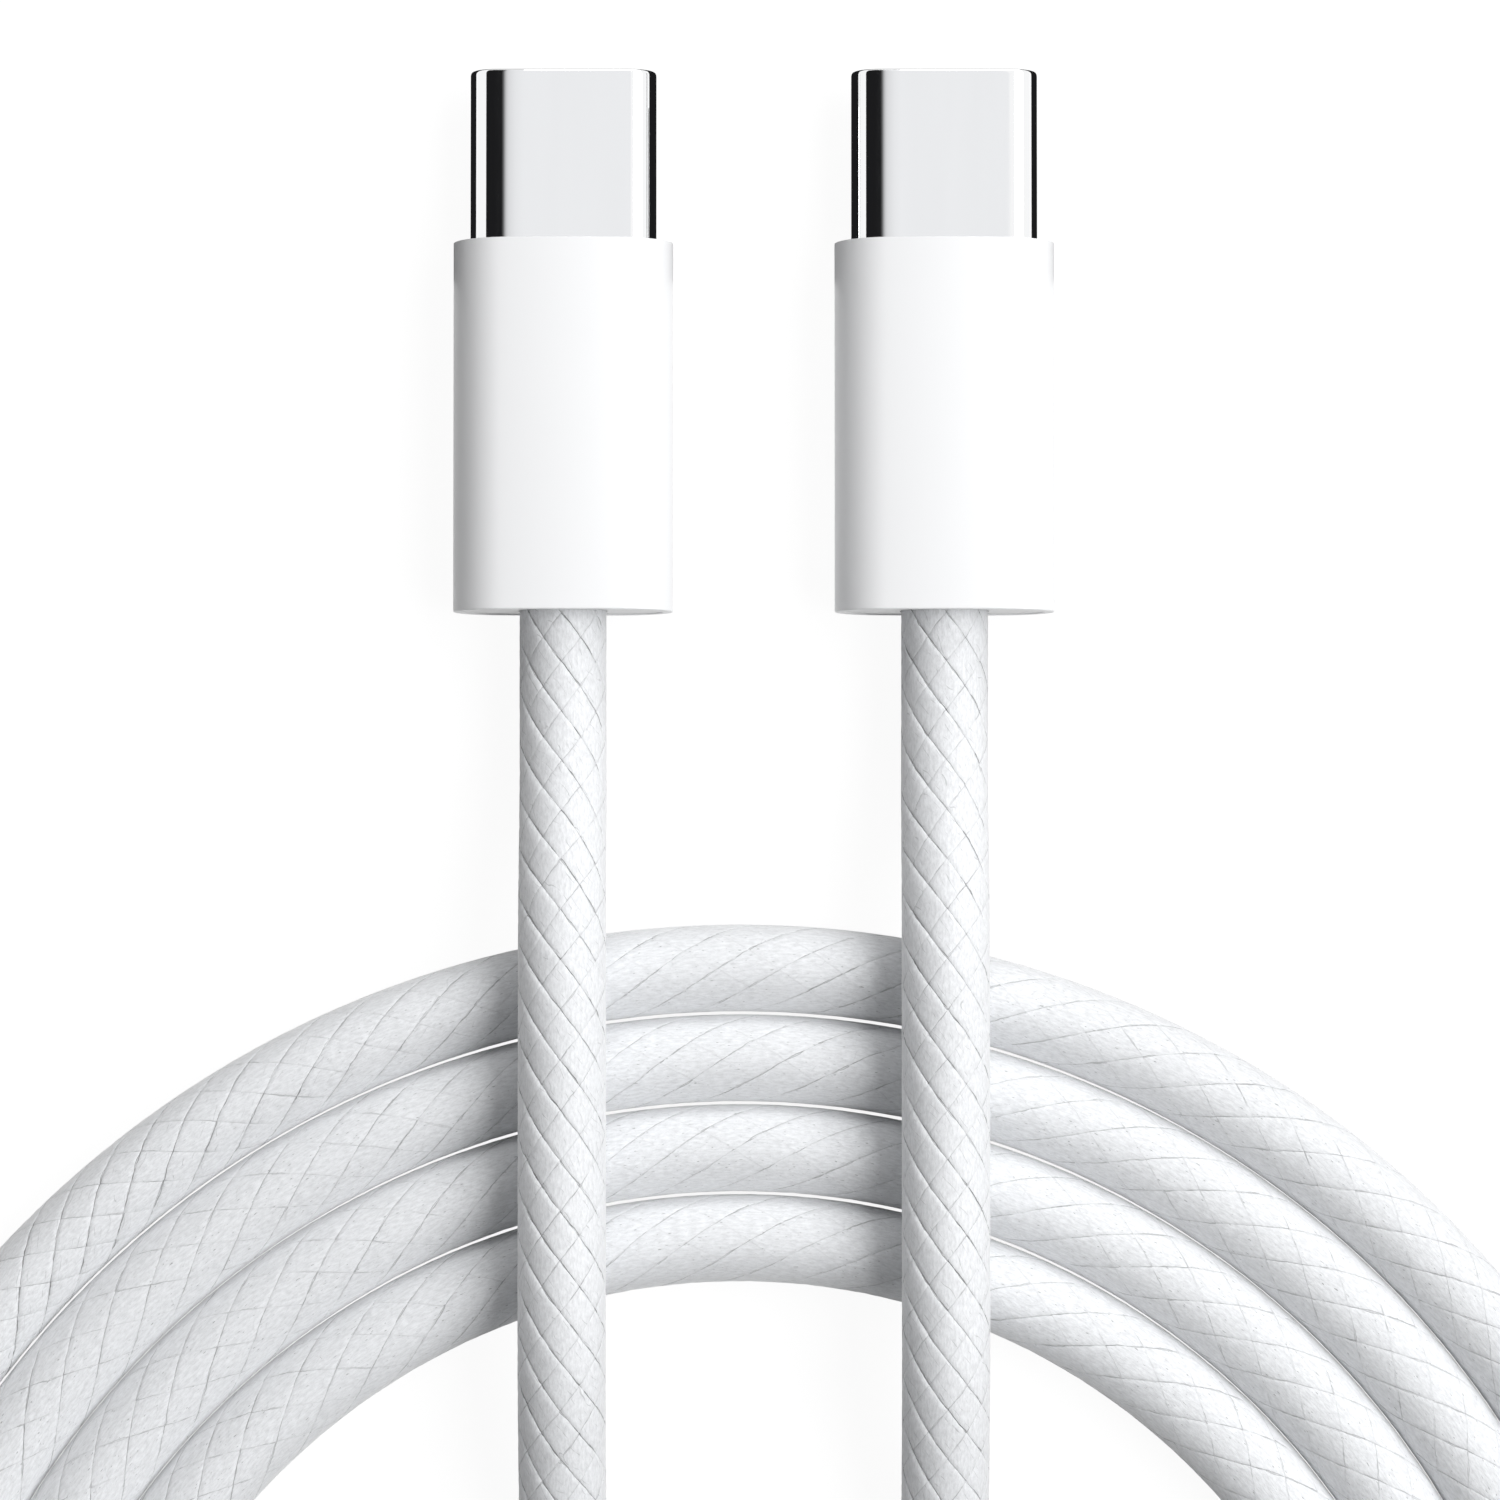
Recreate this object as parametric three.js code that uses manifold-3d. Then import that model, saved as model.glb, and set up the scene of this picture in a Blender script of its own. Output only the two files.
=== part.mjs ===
// A USB-C to USB-C charging cable, laid out flat: two plugs side by side and a braided cord in a coil.
// Millimetres, +Z up. The origin is on the table, midway between the plugs. +Y is the way they plug in.
import * as THREE from "three";
import { mergeVertices } from "three/addons/utils/BufferGeometryUtils.js";
import Module from "manifold-3d";

const wasm = await Module();
wasm.setup();

// Shell: the drawn steel tube that enters the socket.
const SHELL_WIDTH = 8.25;
const SHELL_HEIGHT = 2.4;
const SHELL_WALL = 0.27;
const SHELL_EXPOSED = 7.64;
const SHELL_BURIED = 3.36;
const SHELL_RIM = 0.12;

// Boot: the glossy sleeve round the plug's body, closed behind by an inset cap. It is as wide as the
// shell, the mould beside it and its own walls, and as high as the cord, the cap's ring and its walls.
const MOULD_SIDE = 0.215;
const CAP_RING = 0.26;
const BOOT_LENGTH = 16.36;
const BOOT_WALL = 0.45;
const BOOT_FRONT_WALL = 0.8;
const BOOT_EDGE = 0.08;
const CAP_INSET = 0.05;
const CAP_THICKNESS = 0.9;
const PLUG_SPACING = 16.9;

// Clearances: between pieces that sit in each other, round the shell, and where a cord ends.
const FIT = 0.04;
const SHELL_FIT = 0.03;
const CORD_FIT = 0.075;
const CORD_END_GAP = 0.3;

// Tongue housing: two plates on a rear block, with the slot that takes the socket's tongue.
const HOUSING_RECESS = 0.3;
const HOUSING_REAR_RECESS = 0.3;
const SLOT_HEIGHT = 0.84;
const SLOT_DEPTH = 6.1;
const CHANNEL_LENGTH = 2.4;
const HOUSING_WEB = 0.12;

// Contacts: sprung fingers at the standard pitch, moulded into a carrier on each side.
const CONTACT_PITCH = 0.5;
const CONTACT_COUNT = 12;
const UPPER_CONTACTS = [0, 3, 4, 5, 6, 8, 11];
const LOWER_CONTACTS = [0, 3, 7, 8, 11];
const CONTACT_WIDTH = 0.25;
const CONTACT_THICKNESS = 0.13;
const CONTACT_SIDE_GAP = 0.04;
const CONTACT_CREST = 0.3;
const CONTACT_TIP_BACK = 2.35;
const CREST_BACK = 2.8;
const CONTACT_RISE = 0.5;
const TAIL_LENGTH = 1.5;
const CARRIER_LENGTH = 1.66;
const CARRIER_SIDE = 0.25;
const CARRIER_TOP = 0.72;

// Side latches: sprung steel arms whose hooks catch the notches of the socket's tongue.
const LATCH_THICKNESS = 0.18;
const LATCH_HEIGHT = 0.6;
const LATCH_ROOM = 0.295;
const LATCH_HOOK = 0.23;
const LATCH_REAR_OFFSET = 2.2;
const LATCH_ROOT_LENGTH = 1.1;
const LATCH_ROOT_HEIGHT = 1.1;
const LATCH_TIP_BACK = 1.1;
const LATCH_TIP_EASE = 0.09;
const LATCH_FLARE = 0.06;
const LATCH_RAMP = 0.46;
const LATCH_HOOK_FLAT = 0.23;
const LATCH_HOOK_BACK = 0.69;
const LATCH_SLOT_GAP = 0.06;

// Ground springs: stamped strips behind the mouth, with fingers that reach into the slot.
const SPRING_THICKNESS = 0.08;
const SPRING_HALF_WIDTH = 2.8;
const SPRING_LENGTH = 1.5;
const SPRING_BACK = 0.4;
const SPRING_FINGERS = 4;
const SPRING_FINGER_PITCH = 1.4;
const SPRING_FINGER_WIDTH = 0.56;
const SPRING_CREST = 0.4;
const SPRING_CREST_BACK = 0.5;
const SPRING_REAR_BAR = 0.375;
const SPRING_FRONT_BAR = 0.25;
const SPRING_RECESS_GAP = 0.02;
const SPRING_WINDOW_MARGIN = 0.2;

// Circuit board and the pieces soldered to it.
const BOARD_WIDTH = 6.5;
const BOARD_LENGTH = 5.6;
const BOARD_THICKNESS = 0.6;
const BOARD_NOTCH = 0.35;
const BOARD_NOTCH_BACK = 1.87;
const CAPACITOR_SIZE = [1, 0.5, 0.5];
const CAPACITOR_END = 0.2;
const CAPACITOR_END_RAISE = 0.03;
const CAPACITOR_PLACE = [2.3, 2.4];

// Wires: radius, place in the cord's bundle, and the place and side of the board's pad.
const WIRES = {
  wire_vbus: { radius: 0.4, from: [-0.7, 0.5], pad: -1.55, side: 1, colour: 0xb3261e },
  wire_ground: { radius: 0.4, from: [0.7, 0.5], pad: 1.55, side: 1, colour: 0x202020 },
  wire_cc: { radius: 0.28, from: [0, 0], pad: 0, side: 1, colour: 0x2b5fb0 },
  wire_d_plus: { radius: 0.28, from: [0.45, -0.68], pad: 0.8, side: -1, colour: 0x2c8a4b },
  wire_d_minus: { radius: 0.28, from: [-0.45, -0.68], pad: -0.8, side: -1, colour: 0xe8e8e4 },
};
const PAD_LENGTH = 1.3;
const WIRE_ROOM = 1.9;
const WIRE_DOOR = [1.3, 1.12];

// Shield: two folded cans over the board, with half barrels crimped on the cord's jacket.
const CAN_WALL = 0.2;
const CAN_LUG_LENGTH = 1.5;
const CAN_LUG_MARGIN = 0.1;
const BARREL_WALL = 0.17;
const BARREL_LENGTH = 2;
const JACKET_DIAMETER = 3.2;
const JACKET_LENGTH = 3.3;
const MOULD_SETBACK = 0.28;

// Cord: its diameter, and the flat coil, which winds outwards anticlockwise seen from above.
const CORD_DIAMETER = 3.85;
const COIL_PITCH = 3.98;
const COIL_RADIUS = 30.62;
const COIL_CENTRE = [0, -70.3];
const COIL_FLATTENING = 6;
const COIL_FROM = -52;
const COIL_TO = 1223;
const COIL_STEPS_PER_TURN = 24;
const COIL_SIDES = 6;
const COIL_GAP = 0.45;

// Route of each lead behind its plug, chosen by hand: over the coil, into its middle, and to its end.
const LEAD_A_ROUTE = [
  [-8.45, -13, 2.75],
  [-8.45, -16.2, 2.75],
  [-8.42, -19.3, 3.2],
  [-8.4, -22.4, 4.35],
  [-8.38, -25.5, 5.5],
  [-8.36, -28.6, 5.95],
  [-8.36, -35, 5.95],
  [-8.36, -41.4, 5.95],
  [-8.38, -45.6, 5.36],
  [-8.4, -49.7, 3.98],
  [-8.4, -53.8, 2.6],
  [-8.4, -58, 2],
  [-8.4, -65, 2],
  [-8.4, -72, 2],
  [-7.3, -78.5, 2],
  [-4, -84.2, 2],
  [1, -88.4, 2],
  [7.2, -90.6, 2],
  [13.7, -90.6, 2],
  [19.3, -88.7, 1.95],
  [22.42, -86.72, 1.93],
];
const LEAD_B_ROUTE = [
  [8.45, -13, 2.75],
  [8.45, -16.2, 2.75],
  [8.42, -19.3, 3.2],
  [8.4, -22.4, 4.35],
  [8.38, -25.5, 5.5],
  [8.36, -28.6, 5.95],
  [8.36, -35, 5.95],
  [8.36, -41.4, 5.95],
  [8.38, -45.7, 5.36],
  [8.4, -49.9, 3.98],
  [8.4, -54.2, 2.6],
  [8.4, -58.4, 2],
  [8.4, -62.9, 2],
  [8.4, -67.4, 2],
  [8.4, -71.6, 2.56],
  [8.1, -75.9, 3.96],
  [7, -80, 5.36],
  [5, -83.8, 5.95],
  [-0.5, -89.1, 5.95],
  [-7.7, -91.8, 5.95],
  [-15.4, -91.4, 5.95],
  [-22.2, -87.9, 5.95],
  [-27.7, -82.3, 5.95],
  [-32.8, -76.4, 5.95],
  [-37.6, -70.2, 5.95],
  [-40.6, -63.3, 5.95],
  [-41.1, -59.3, 5.36],
  [-40.7, -55.4, 3.95],
  [-39.5, -51.6, 2.54],
  [-37.34, -48.15, 1.95],
  [-35.02, -45.08, 1.93],
];
const LEAD_A_STEPS = 32;
const LEAD_B_STEPS = 48;
const LEAD_SIDES = 8;

const ROUND_SEGMENTS = 14;
const WIRE_STEPS = 9;
const WIRE_SIDES = 7;

// The boot's outside, from what is in it.
const bootWidth = SHELL_WIDTH + 2 * (FIT + MOULD_SIDE + FIT + BOOT_WALL);
const bootHeight = CORD_DIAMETER + 2 * (CORD_FIT + CAP_RING + FIT + BOOT_WALL);

// Places along the plug, from its tip backwards.
const tipY = (BOOT_LENGTH + SHELL_EXPOSED) / 2;
const bootFrontY = tipY - SHELL_EXPOSED;
const bootRearY = bootFrontY - BOOT_LENGTH;
const cavityFrontY = bootFrontY - BOOT_FRONT_WALL;
const capRearY = bootRearY + CAP_INSET;
const capFrontY = capRearY + CAP_THICKNESS;
const shellRearY = bootFrontY - SHELL_BURIED;
const housingFrontY = tipY - HOUSING_RECESS;
const housingRearY = shellRearY + HOUSING_REAR_RECESS;
const slotEndY = housingFrontY - SLOT_DEPTH;
const pocketFrontY = slotEndY - CHANNEL_LENGTH;
const carrierFrontY = pocketFrontY - FIT;
const carrierRearY = carrierFrontY - CARRIER_LENGTH;
const boardFrontY = housingRearY - FIT;
const boardRearY = boardFrontY - BOARD_LENGTH;
const canFrontY = shellRearY - FIT;
const canRearY = boardRearY - WIRE_ROOM;
const barrelRearY = canRearY - BARREL_LENGTH;
const jacketFrontY = canRearY - FIT;
const jacketRearY = jacketFrontY - JACKET_LENGTH;
const mouldRearY = jacketRearY + MOULD_SETBACK;
const latchRearY = slotEndY - LATCH_REAR_OFFSET;
const springFrontY = housingFrontY - SPRING_BACK;
const springRearY = springFrontY - SPRING_LENGTH;

// Widths and heights of what fits inside the shell, the boot and the shield.
const shellInnerWidth = SHELL_WIDTH - 2 * SHELL_WALL;
const shellInnerHeight = SHELL_HEIGHT - 2 * SHELL_WALL;
const housingWidth = shellInnerWidth - 2 * FIT;
const housingHeight = shellInnerHeight - 2 * FIT;
const cavityWidth = bootWidth - 2 * BOOT_WALL;
const cavityHeight = bootHeight - 2 * BOOT_WALL;
const latchOuter = shellInnerWidth / 2 - LATCH_ROOM;
const latchInner = latchOuter - LATCH_THICKNESS;
const boardTop = BOARD_THICKNESS / 2;
const channelTop = CARRIER_TOP + FIT;
const springTop = housingHeight / 2 - SPRING_RECESS_GAP;
const springBottom = springTop - SPRING_THICKNESS;
const canInnerHalf = BOARD_WIDTH / 2 + FIT;
const canOuterHalf = canInnerHalf + CAN_WALL;
const canInnerTop = SHELL_HEIGHT / 2 + FIT;
const canOuterTop = canInnerTop + CAN_WALL;
const lugHalf = (SHELL_WIDTH - SHELL_HEIGHT) / 2 - CAN_LUG_MARGIN;
const jacketRadius = JACKET_DIAMETER / 2;
const barrelInner = jacketRadius + FIT;
const barrelOuter = barrelInner + BARREL_WALL;
const contactSpan = ((CONTACT_COUNT - 1) * CONTACT_PITCH) / 2;
const carrierHalf = contactSpan + CARRIER_SIDE;

const MATERIALS = {
  polished_steel: material(0xd9dcdf, 0.08, 1),
  spring_steel: material(0xb9bcc0, 0.25, 1),
  plated_steel: material(0xc4c6c8, 0.35, 1),
  gold: material(0xd8b25a, 0.25, 1),
  glossy_white: material(0xf2f3f4, 0.25, 0),
  white_plastic: material(0xe4e5e6, 0.45, 0),
  black_plastic: material(0x1c1c1e, 0.5, 0),
  clear_mould: material(0xdfe0dc, 0.5, 0),
  circuit_green: material(0x1f5a3a, 0.5, 0),
  ceramic_brown: material(0x9a7b5a, 0.5, 0),
  jacket_white: material(0xdcdcd8, 0.6, 0),
  braid: material(0xe9eaeb, 0.8, 0),
};

function material(color, roughness, metalness) {
  return new THREE.MeshStandardMaterial({ color, roughness, metalness });
}

function solid(geometry) {
  const bare = geometry.index ? geometry.toNonIndexed() : geometry.clone();
  bare.deleteAttribute("normal");
  bare.deleteAttribute("uv");
  const merged = mergeVertices(bare, 1e-5);
  const mesh = new wasm.Mesh({
    numProp: 3,
    vertProperties: merged.attributes.position.array,
    triVerts: new Uint32Array(merged.index.array),
  });
  return new wasm.Manifold(mesh);
}

function geometryOf(body) {
  const mesh = body.getMesh();
  const geometry = new THREE.BufferGeometry();
  geometry.setAttribute("position", new THREE.BufferAttribute(mesh.vertProperties, 3));
  geometry.setIndex(new THREE.BufferAttribute(mesh.triVerts, 1));
  return geometry;
}

function join(...geometries) {
  return geometryOf(geometries.map(solid).reduce((sum, next) => sum.add(next)));
}

function cut(geometry, ...tools) {
  return geometryOf(tools.map(solid).reduce((rest, next) => rest.subtract(next), solid(geometry)));
}

// A block between two corners.
function block(x0, x1, y0, y1, z0, z1) {
  const box = new THREE.BoxGeometry(x1 - x0, y1 - y0, z1 - z0);
  return box.translate((x0 + x1) / 2, (y0 + y1) / 2, (z0 + z1) / 2);
}

// A flat outline with round ends, as the plug's shell has.
function stadium(width, height) {
  const radius = height / 2;
  const straight = width / 2 - radius;
  const shape = new THREE.Shape();
  shape.moveTo(-straight, -radius);
  shape.lineTo(straight, -radius);
  shape.absarc(straight, 0, radius, -Math.PI / 2, Math.PI / 2, false);
  shape.lineTo(-straight, radius);
  shape.absarc(-straight, 0, radius, Math.PI / 2, (3 * Math.PI) / 2, false);
  return shape;
}

// An outline across the plug, drawn out along it from front to rear, with its ends' edges eased.
function drawn(shape, frontY, rearY, edge = 0) {
  const geometry = new THREE.ExtrudeGeometry(shape, {
    depth: frontY - rearY - 2 * edge,
    curveSegments: ROUND_SEGMENTS,
    bevelEnabled: edge > 0,
    bevelThickness: edge,
    bevelSize: edge,
    bevelOffset: -edge,
    bevelSegments: 2,
  });
  return geometry.rotateX(Math.PI / 2).translate(0, frontY - edge, 0);
}

// A side outline of points (y, z), drawn out across the plug from x0 to x1.
function sideways(points, x0, x1) {
  const shape = new THREE.Shape(points.map(([y, z]) => new THREE.Vector2(y, z)));
  const geometry = new THREE.ExtrudeGeometry(shape, { depth: x1 - x0, bevelEnabled: false });
  return geometry.rotateZ(Math.PI / 2).rotateY(Math.PI / 2).translate(x0, 0, 0);
}

// The side outline of a bent strip: its lower line of points (y, z), with a thickness above it.
function strip(line, thickness) {
  return [...line, ...line.map(([y, z]) => [y, z + thickness]).reverse()];
}

// A round bar along the plug.
function bar(radius, frontY, rearY, sides = 24) {
  const cylinder = new THREE.CylinderGeometry(radius, radius, frontY - rearY, sides);
  return cylinder.translate(0, (frontY + rearY) / 2, 0);
}

// A round tube along a curve through the points.
function tube(points, radius, sides, steps) {
  const path = new THREE.CatmullRomCurve3(points.map((p) => new THREE.Vector3(...p)));
  const corners = Array.from({ length: sides }, (_, i) => {
    const angle = (2 * Math.PI * (i + 0.5)) / sides;
    return new THREE.Vector2(radius * Math.cos(angle), radius * Math.sin(angle));
  });
  return new THREE.ExtrudeGeometry(new THREE.Shape(corners), { steps, extrudePath: path });
}

// The same piece on the plug's other face: turned half a turn about the plug's axis.
function turned(geometry) {
  return geometry.clone().rotateY(Math.PI);
}

function makeShell() {
  const outside = drawn(stadium(SHELL_WIDTH, SHELL_HEIGHT), tipY, shellRearY, SHELL_RIM);
  const hollow = stadium(shellInnerWidth, shellInnerHeight);
  return cut(outside, drawn(hollow, tipY + SHELL_WALL, shellRearY - SHELL_WALL));
}

function makeBoot() {
  const outside = drawn(stadium(bootWidth, bootHeight), bootFrontY, bootRearY, BOOT_EDGE);
  const cavity = drawn(stadium(cavityWidth, cavityHeight), cavityFrontY, bootRearY - BOOT_WALL);
  const mouth = stadium(SHELL_WIDTH + 2 * SHELL_FIT, SHELL_HEIGHT + 2 * SHELL_FIT);
  return cut(outside, cavity, drawn(mouth, bootFrontY + BOOT_WALL, cavityFrontY - BOOT_WALL));
}

function makeRearCap() {
  const plate = drawn(stadium(cavityWidth - 2 * FIT, cavityHeight - 2 * FIT), capFrontY, capRearY);
  const bore = bar(CORD_DIAMETER / 2 + CORD_FIT, capFrontY + FIT, capRearY - FIT);
  return cut(plate, bore);
}

// The places across the plug of one side's contacts.
function contactPlaces(positions) {
  return positions.map((position) => position * CONTACT_PITCH - contactSpan);
}

function contactChannels(positions) {
  const half = CONTACT_WIDTH / 2 + CONTACT_SIDE_GAP;
  const frontY = tipY - CONTACT_TIP_BACK + FIT;
  const lowest = (CONTACT_CREST + HOUSING_WEB) / 2;
  return contactPlaces(positions).map((x) =>
    block(x - half, x + half, pocketFrontY - FIT, frontY, lowest, channelTop),
  );
}

function springFingerPlaces() {
  const span = ((SPRING_FINGERS - 1) * SPRING_FINGER_PITCH) / 2;
  return Array.from({ length: SPRING_FINGERS }, (_, i) => i * SPRING_FINGER_PITCH - span);
}

// What one face of the housing has cut from it: a carrier's pocket, channels and a spring's seat.
function housingCuts(positions) {
  const pocketHalf = carrierHalf + FIT;
  const pocketRear = housingRearY - FIT;
  const pocket = block(-pocketHalf, pocketHalf, pocketRear, pocketFrontY, HOUSING_WEB, channelTop);
  const seatHalf = SPRING_HALF_WIDTH + FIT;
  const seatRear = springRearY - FIT;
  const seatFront = springFrontY + FIT;
  const seatFloor = springBottom - SPRING_RECESS_GAP;
  const seat = block(-seatHalf, seatHalf, seatRear, seatFront, seatFloor, housingHeight);
  const windowHalf = SPRING_FINGER_WIDTH / 2 + CONTACT_SIDE_GAP;
  const windowRear = seatRear + SPRING_WINDOW_MARGIN;
  const windows = springFingerPlaces().map((x) =>
    block(x - windowHalf, x + windowHalf, windowRear, seatFront, 0, housingHeight),
  );
  return [pocket, seat, ...windows, ...contactChannels(positions)];
}

function latchSlot() {
  const inner = latchInner - LATCH_SLOT_GAP;
  const rear = latchRearY - LATCH_SLOT_GAP;
  const rootFront = latchRearY + LATCH_ROOT_LENGTH + LATCH_SLOT_GAP;
  const armHalf = LATCH_HEIGHT / 2 + LATCH_SLOT_GAP;
  const rootHalf = LATCH_ROOT_HEIGHT / 2 + LATCH_SLOT_GAP;
  return join(
    block(-housingWidth, -inner, rear, slotEndY + FIT, -armHalf, armHalf),
    block(-housingWidth, -inner, rear, rootFront, -rootHalf, rootHalf),
  );
}

function makeTongueHousing() {
  const outside = drawn(stadium(housingWidth, housingHeight), housingFrontY, housingRearY);
  const halfSlot = SLOT_HEIGHT / 2;
  const slot = block(-housingWidth, housingWidth, slotEndY, tipY, -halfSlot, halfSlot);
  const upper = housingCuts(UPPER_CONTACTS);
  const lower = housingCuts(LOWER_CONTACTS).map(turned);
  const slots = [latchSlot(), turned(latchSlot())];
  return cut(outside, slot, ...upper, ...lower, ...slots);
}

// A finger's lower line: a tail on the board, a run through the carrier, and a sprung crest in the slot.
function contactLine() {
  const tail = boardTop + FIT;
  const crestY = tipY - CREST_BACK;
  return [
    [boardFrontY - TAIL_LENGTH, tail],
    [boardFrontY - FIT, tail],
    [carrierRearY + FIT, CONTACT_RISE],
    [carrierFrontY, CONTACT_RISE],
    [slotEndY, CONTACT_RISE + FIT / 2],
    [(slotEndY + crestY) / 2, CONTACT_RISE],
    [crestY - CONTACT_THICKNESS, CONTACT_CREST],
    [crestY + CONTACT_THICKNESS, CONTACT_CREST],
    [tipY - CONTACT_TIP_BACK, CONTACT_CREST + CONTACT_THICKNESS],
  ];
}

function makeContacts(positions) {
  const floor = HOUSING_WEB + FIT;
  const carrier = block(-carrierHalf, carrierHalf, carrierRearY, carrierFrontY, floor, CARRIER_TOP);
  const outline = strip(contactLine(), CONTACT_THICKNESS);
  const half = CONTACT_WIDTH / 2;
  const fingers = contactPlaces(positions).map((x) => sideways(outline, x - half, x + half));
  return join(carrier, ...fingers);
}

function makeLatch() {
  const inner = -latchInner;
  const outer = -latchOuter;
  const tip = housingFrontY - LATCH_TIP_BACK;
  const hook = inner + LATCH_HOOK;
  const hookFront = tip - LATCH_HOOK_BACK;
  const hookRear = hookFront - LATCH_HOOK_FLAT;
  const outline = new THREE.Shape();
  outline.moveTo(outer, latchRearY);
  outline.lineTo(inner, latchRearY);
  outline.lineTo(inner, hookRear - LATCH_RAMP);
  outline.lineTo(hook, hookRear);
  outline.lineTo(hook, hookFront);
  outline.lineTo(inner - LATCH_FLARE, tip);
  outline.lineTo(outer, tip - LATCH_TIP_EASE);
  const arm = new THREE.ExtrudeGeometry(outline, { depth: LATCH_HEIGHT, bevelEnabled: false });
  arm.translate(0, 0, -LATCH_HEIGHT / 2);
  const rootHalf = LATCH_ROOT_HEIGHT / 2;
  const root = block(outer, inner, latchRearY, latchRearY + LATCH_ROOT_LENGTH, -rootHalf, rootHalf);
  return join(arm, root);
}

function makeGroundSpring() {
  const half = SPRING_FINGER_WIDTH / 2;
  const wide = SPRING_HALF_WIDTH;
  const plate = block(-wide, wide, springRearY, springFrontY, springBottom, springTop);
  const hingeY = springRearY + SPRING_REAR_BAR;
  const crestY = springFrontY - SPRING_CREST_BACK;
  const frontBarY = springFrontY - SPRING_FRONT_BAR;
  const line = [
    [hingeY - SPRING_THICKNESS, springBottom],
    [hingeY, springBottom],
    [crestY - SPRING_THICKNESS, SPRING_CREST],
    [crestY + SPRING_THICKNESS, SPRING_CREST],
    [frontBarY - SPRING_THICKNESS, SPRING_CREST + SPRING_THICKNESS],
  ];
  const outline = strip(line, SPRING_THICKNESS);
  const places = springFingerPlaces();
  const holes = places.map((x) => block(x - half, x + half, hingeY, frontBarY, 0, housingHeight));
  const fingers = places.map((x) => sideways(outline, x - half, x + half));
  return join(cut(plate, ...holes), ...fingers);
}

function makeCircuitBoard() {
  const half = BOARD_WIDTH / 2;
  const board = block(-half, half, boardRearY, boardFrontY, -boardTop, boardTop);
  const notchY = boardRearY + BOARD_NOTCH_BACK;
  const drill = new THREE.CylinderGeometry(BOARD_NOTCH, BOARD_NOTCH, 2 * BOARD_THICKNESS, 16);
  drill.rotateX(Math.PI / 2);
  const notches = [-half, half].map((x) => drill.clone().translate(x, notchY, 0));
  return cut(board, ...notches);
}

function makeCapacitor() {
  const [length, width, height] = CAPACITOR_SIZE;
  const [x, back] = CAPACITOR_PLACE;
  const y = boardFrontY - back;
  const floor = boardTop + FIT + CAPACITOR_END_RAISE;
  const body = block(x - width / 2, x + width / 2, y - length / 2, y + length / 2, floor, floor + height);
  const ends = [-1, 1].map((side) => {
    const near = y + side * (length / 2 + CAPACITOR_END_RAISE);
    const far = y + side * (length / 2 - CAPACITOR_END);
    const wide = width / 2 + CAPACITOR_END_RAISE;
    const low = floor - CAPACITOR_END_RAISE;
    const high = floor + height + CAPACITOR_END_RAISE;
    return block(x - wide, x + wide, Math.min(near, far), Math.max(near, far), low, high);
  });
  return join(body, ...ends);
}

// A wire from the jacket's end, through the shield's door, to its pad on the board.
function makeWire({ radius, from, pad, side }) {
  const [x, z] = from;
  const padZ = side * (boardTop + FIT + radius);
  const startY = jacketFrontY + FIT;
  const points = [
    [x, startY, z],
    [x, startY + CAN_WALL, z],
    [x, startY + 2 * CAN_WALL, z],
    [(x + pad) / 2, (startY + 2 * CAN_WALL + boardRearY) / 2, (z + padZ) / 2],
    [pad, boardRearY, padZ],
    [pad, boardRearY + PAD_LENGTH / 2, padZ],
    [pad, boardRearY + PAD_LENGTH, padZ],
  ];
  return tube(points, radius, WIRE_SIDES, WIRE_STEPS);
}

// The upper can: a folded channel, its lug on the shell, a rear wall, and half a crimp barrel.
function makeShieldCan() {
  const split = FIT / 2;
  const roof = canOuterTop;
  const outside = join(
    block(-canOuterHalf, canOuterHalf, canRearY, canFrontY, split, roof),
    block(-lugHalf, lugHalf, canFrontY - FIT, canFrontY + CAN_LUG_LENGTH, canInnerTop, roof),
    bar(barrelOuter, canRearY + CAN_WALL, barrelRearY),
  );
  const [doorHalf, doorTop] = WIRE_DOOR;
  return cut(
    outside,
    block(-canInnerHalf, canInnerHalf, canRearY + CAN_WALL, canFrontY + FIT, -roof, canInnerTop),
    block(-doorHalf, doorHalf, canRearY - FIT, canRearY + 2 * CAN_WALL, -roof, doorTop),
    bar(barrelInner, canRearY, barrelRearY - FIT),
    block(-canOuterHalf, canOuterHalf, barrelRearY - FIT, canFrontY + FIT, -2 * roof, split),
  );
}

function makeCableJacket() {
  return bar(jacketRadius, jacketFrontY, jacketRearY, 20);
}

// The soft inner mould that fills the boot round the shell's rear, the shield and the jacket.
function makeInnerMould() {
  const width = cavityWidth - 2 * FIT;
  const height = cavityHeight - 2 * FIT;
  const frontY = cavityFrontY - FIT;
  const canHalf = canOuterHalf + FIT;
  const top = canOuterTop + FIT;
  const lug = lugHalf + FIT;
  return cut(
    drawn(stadium(width, height), frontY, mouldRearY),
    drawn(stadium(SHELL_WIDTH + 2 * FIT, SHELL_HEIGHT + 2 * FIT), frontY + FIT, shellRearY - FIT),
    block(-lug, lug, shellRearY - FIT, canFrontY + CAN_LUG_LENGTH + FIT, -top, top),
    block(-canHalf, canHalf, canRearY - FIT, shellRearY, -top, top),
    bar(barrelOuter + FIT, canRearY + CAN_WALL + FIT, barrelRearY - FIT),
    bar(barrelInner, barrelRearY, mouldRearY - FIT),
  );
}

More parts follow.
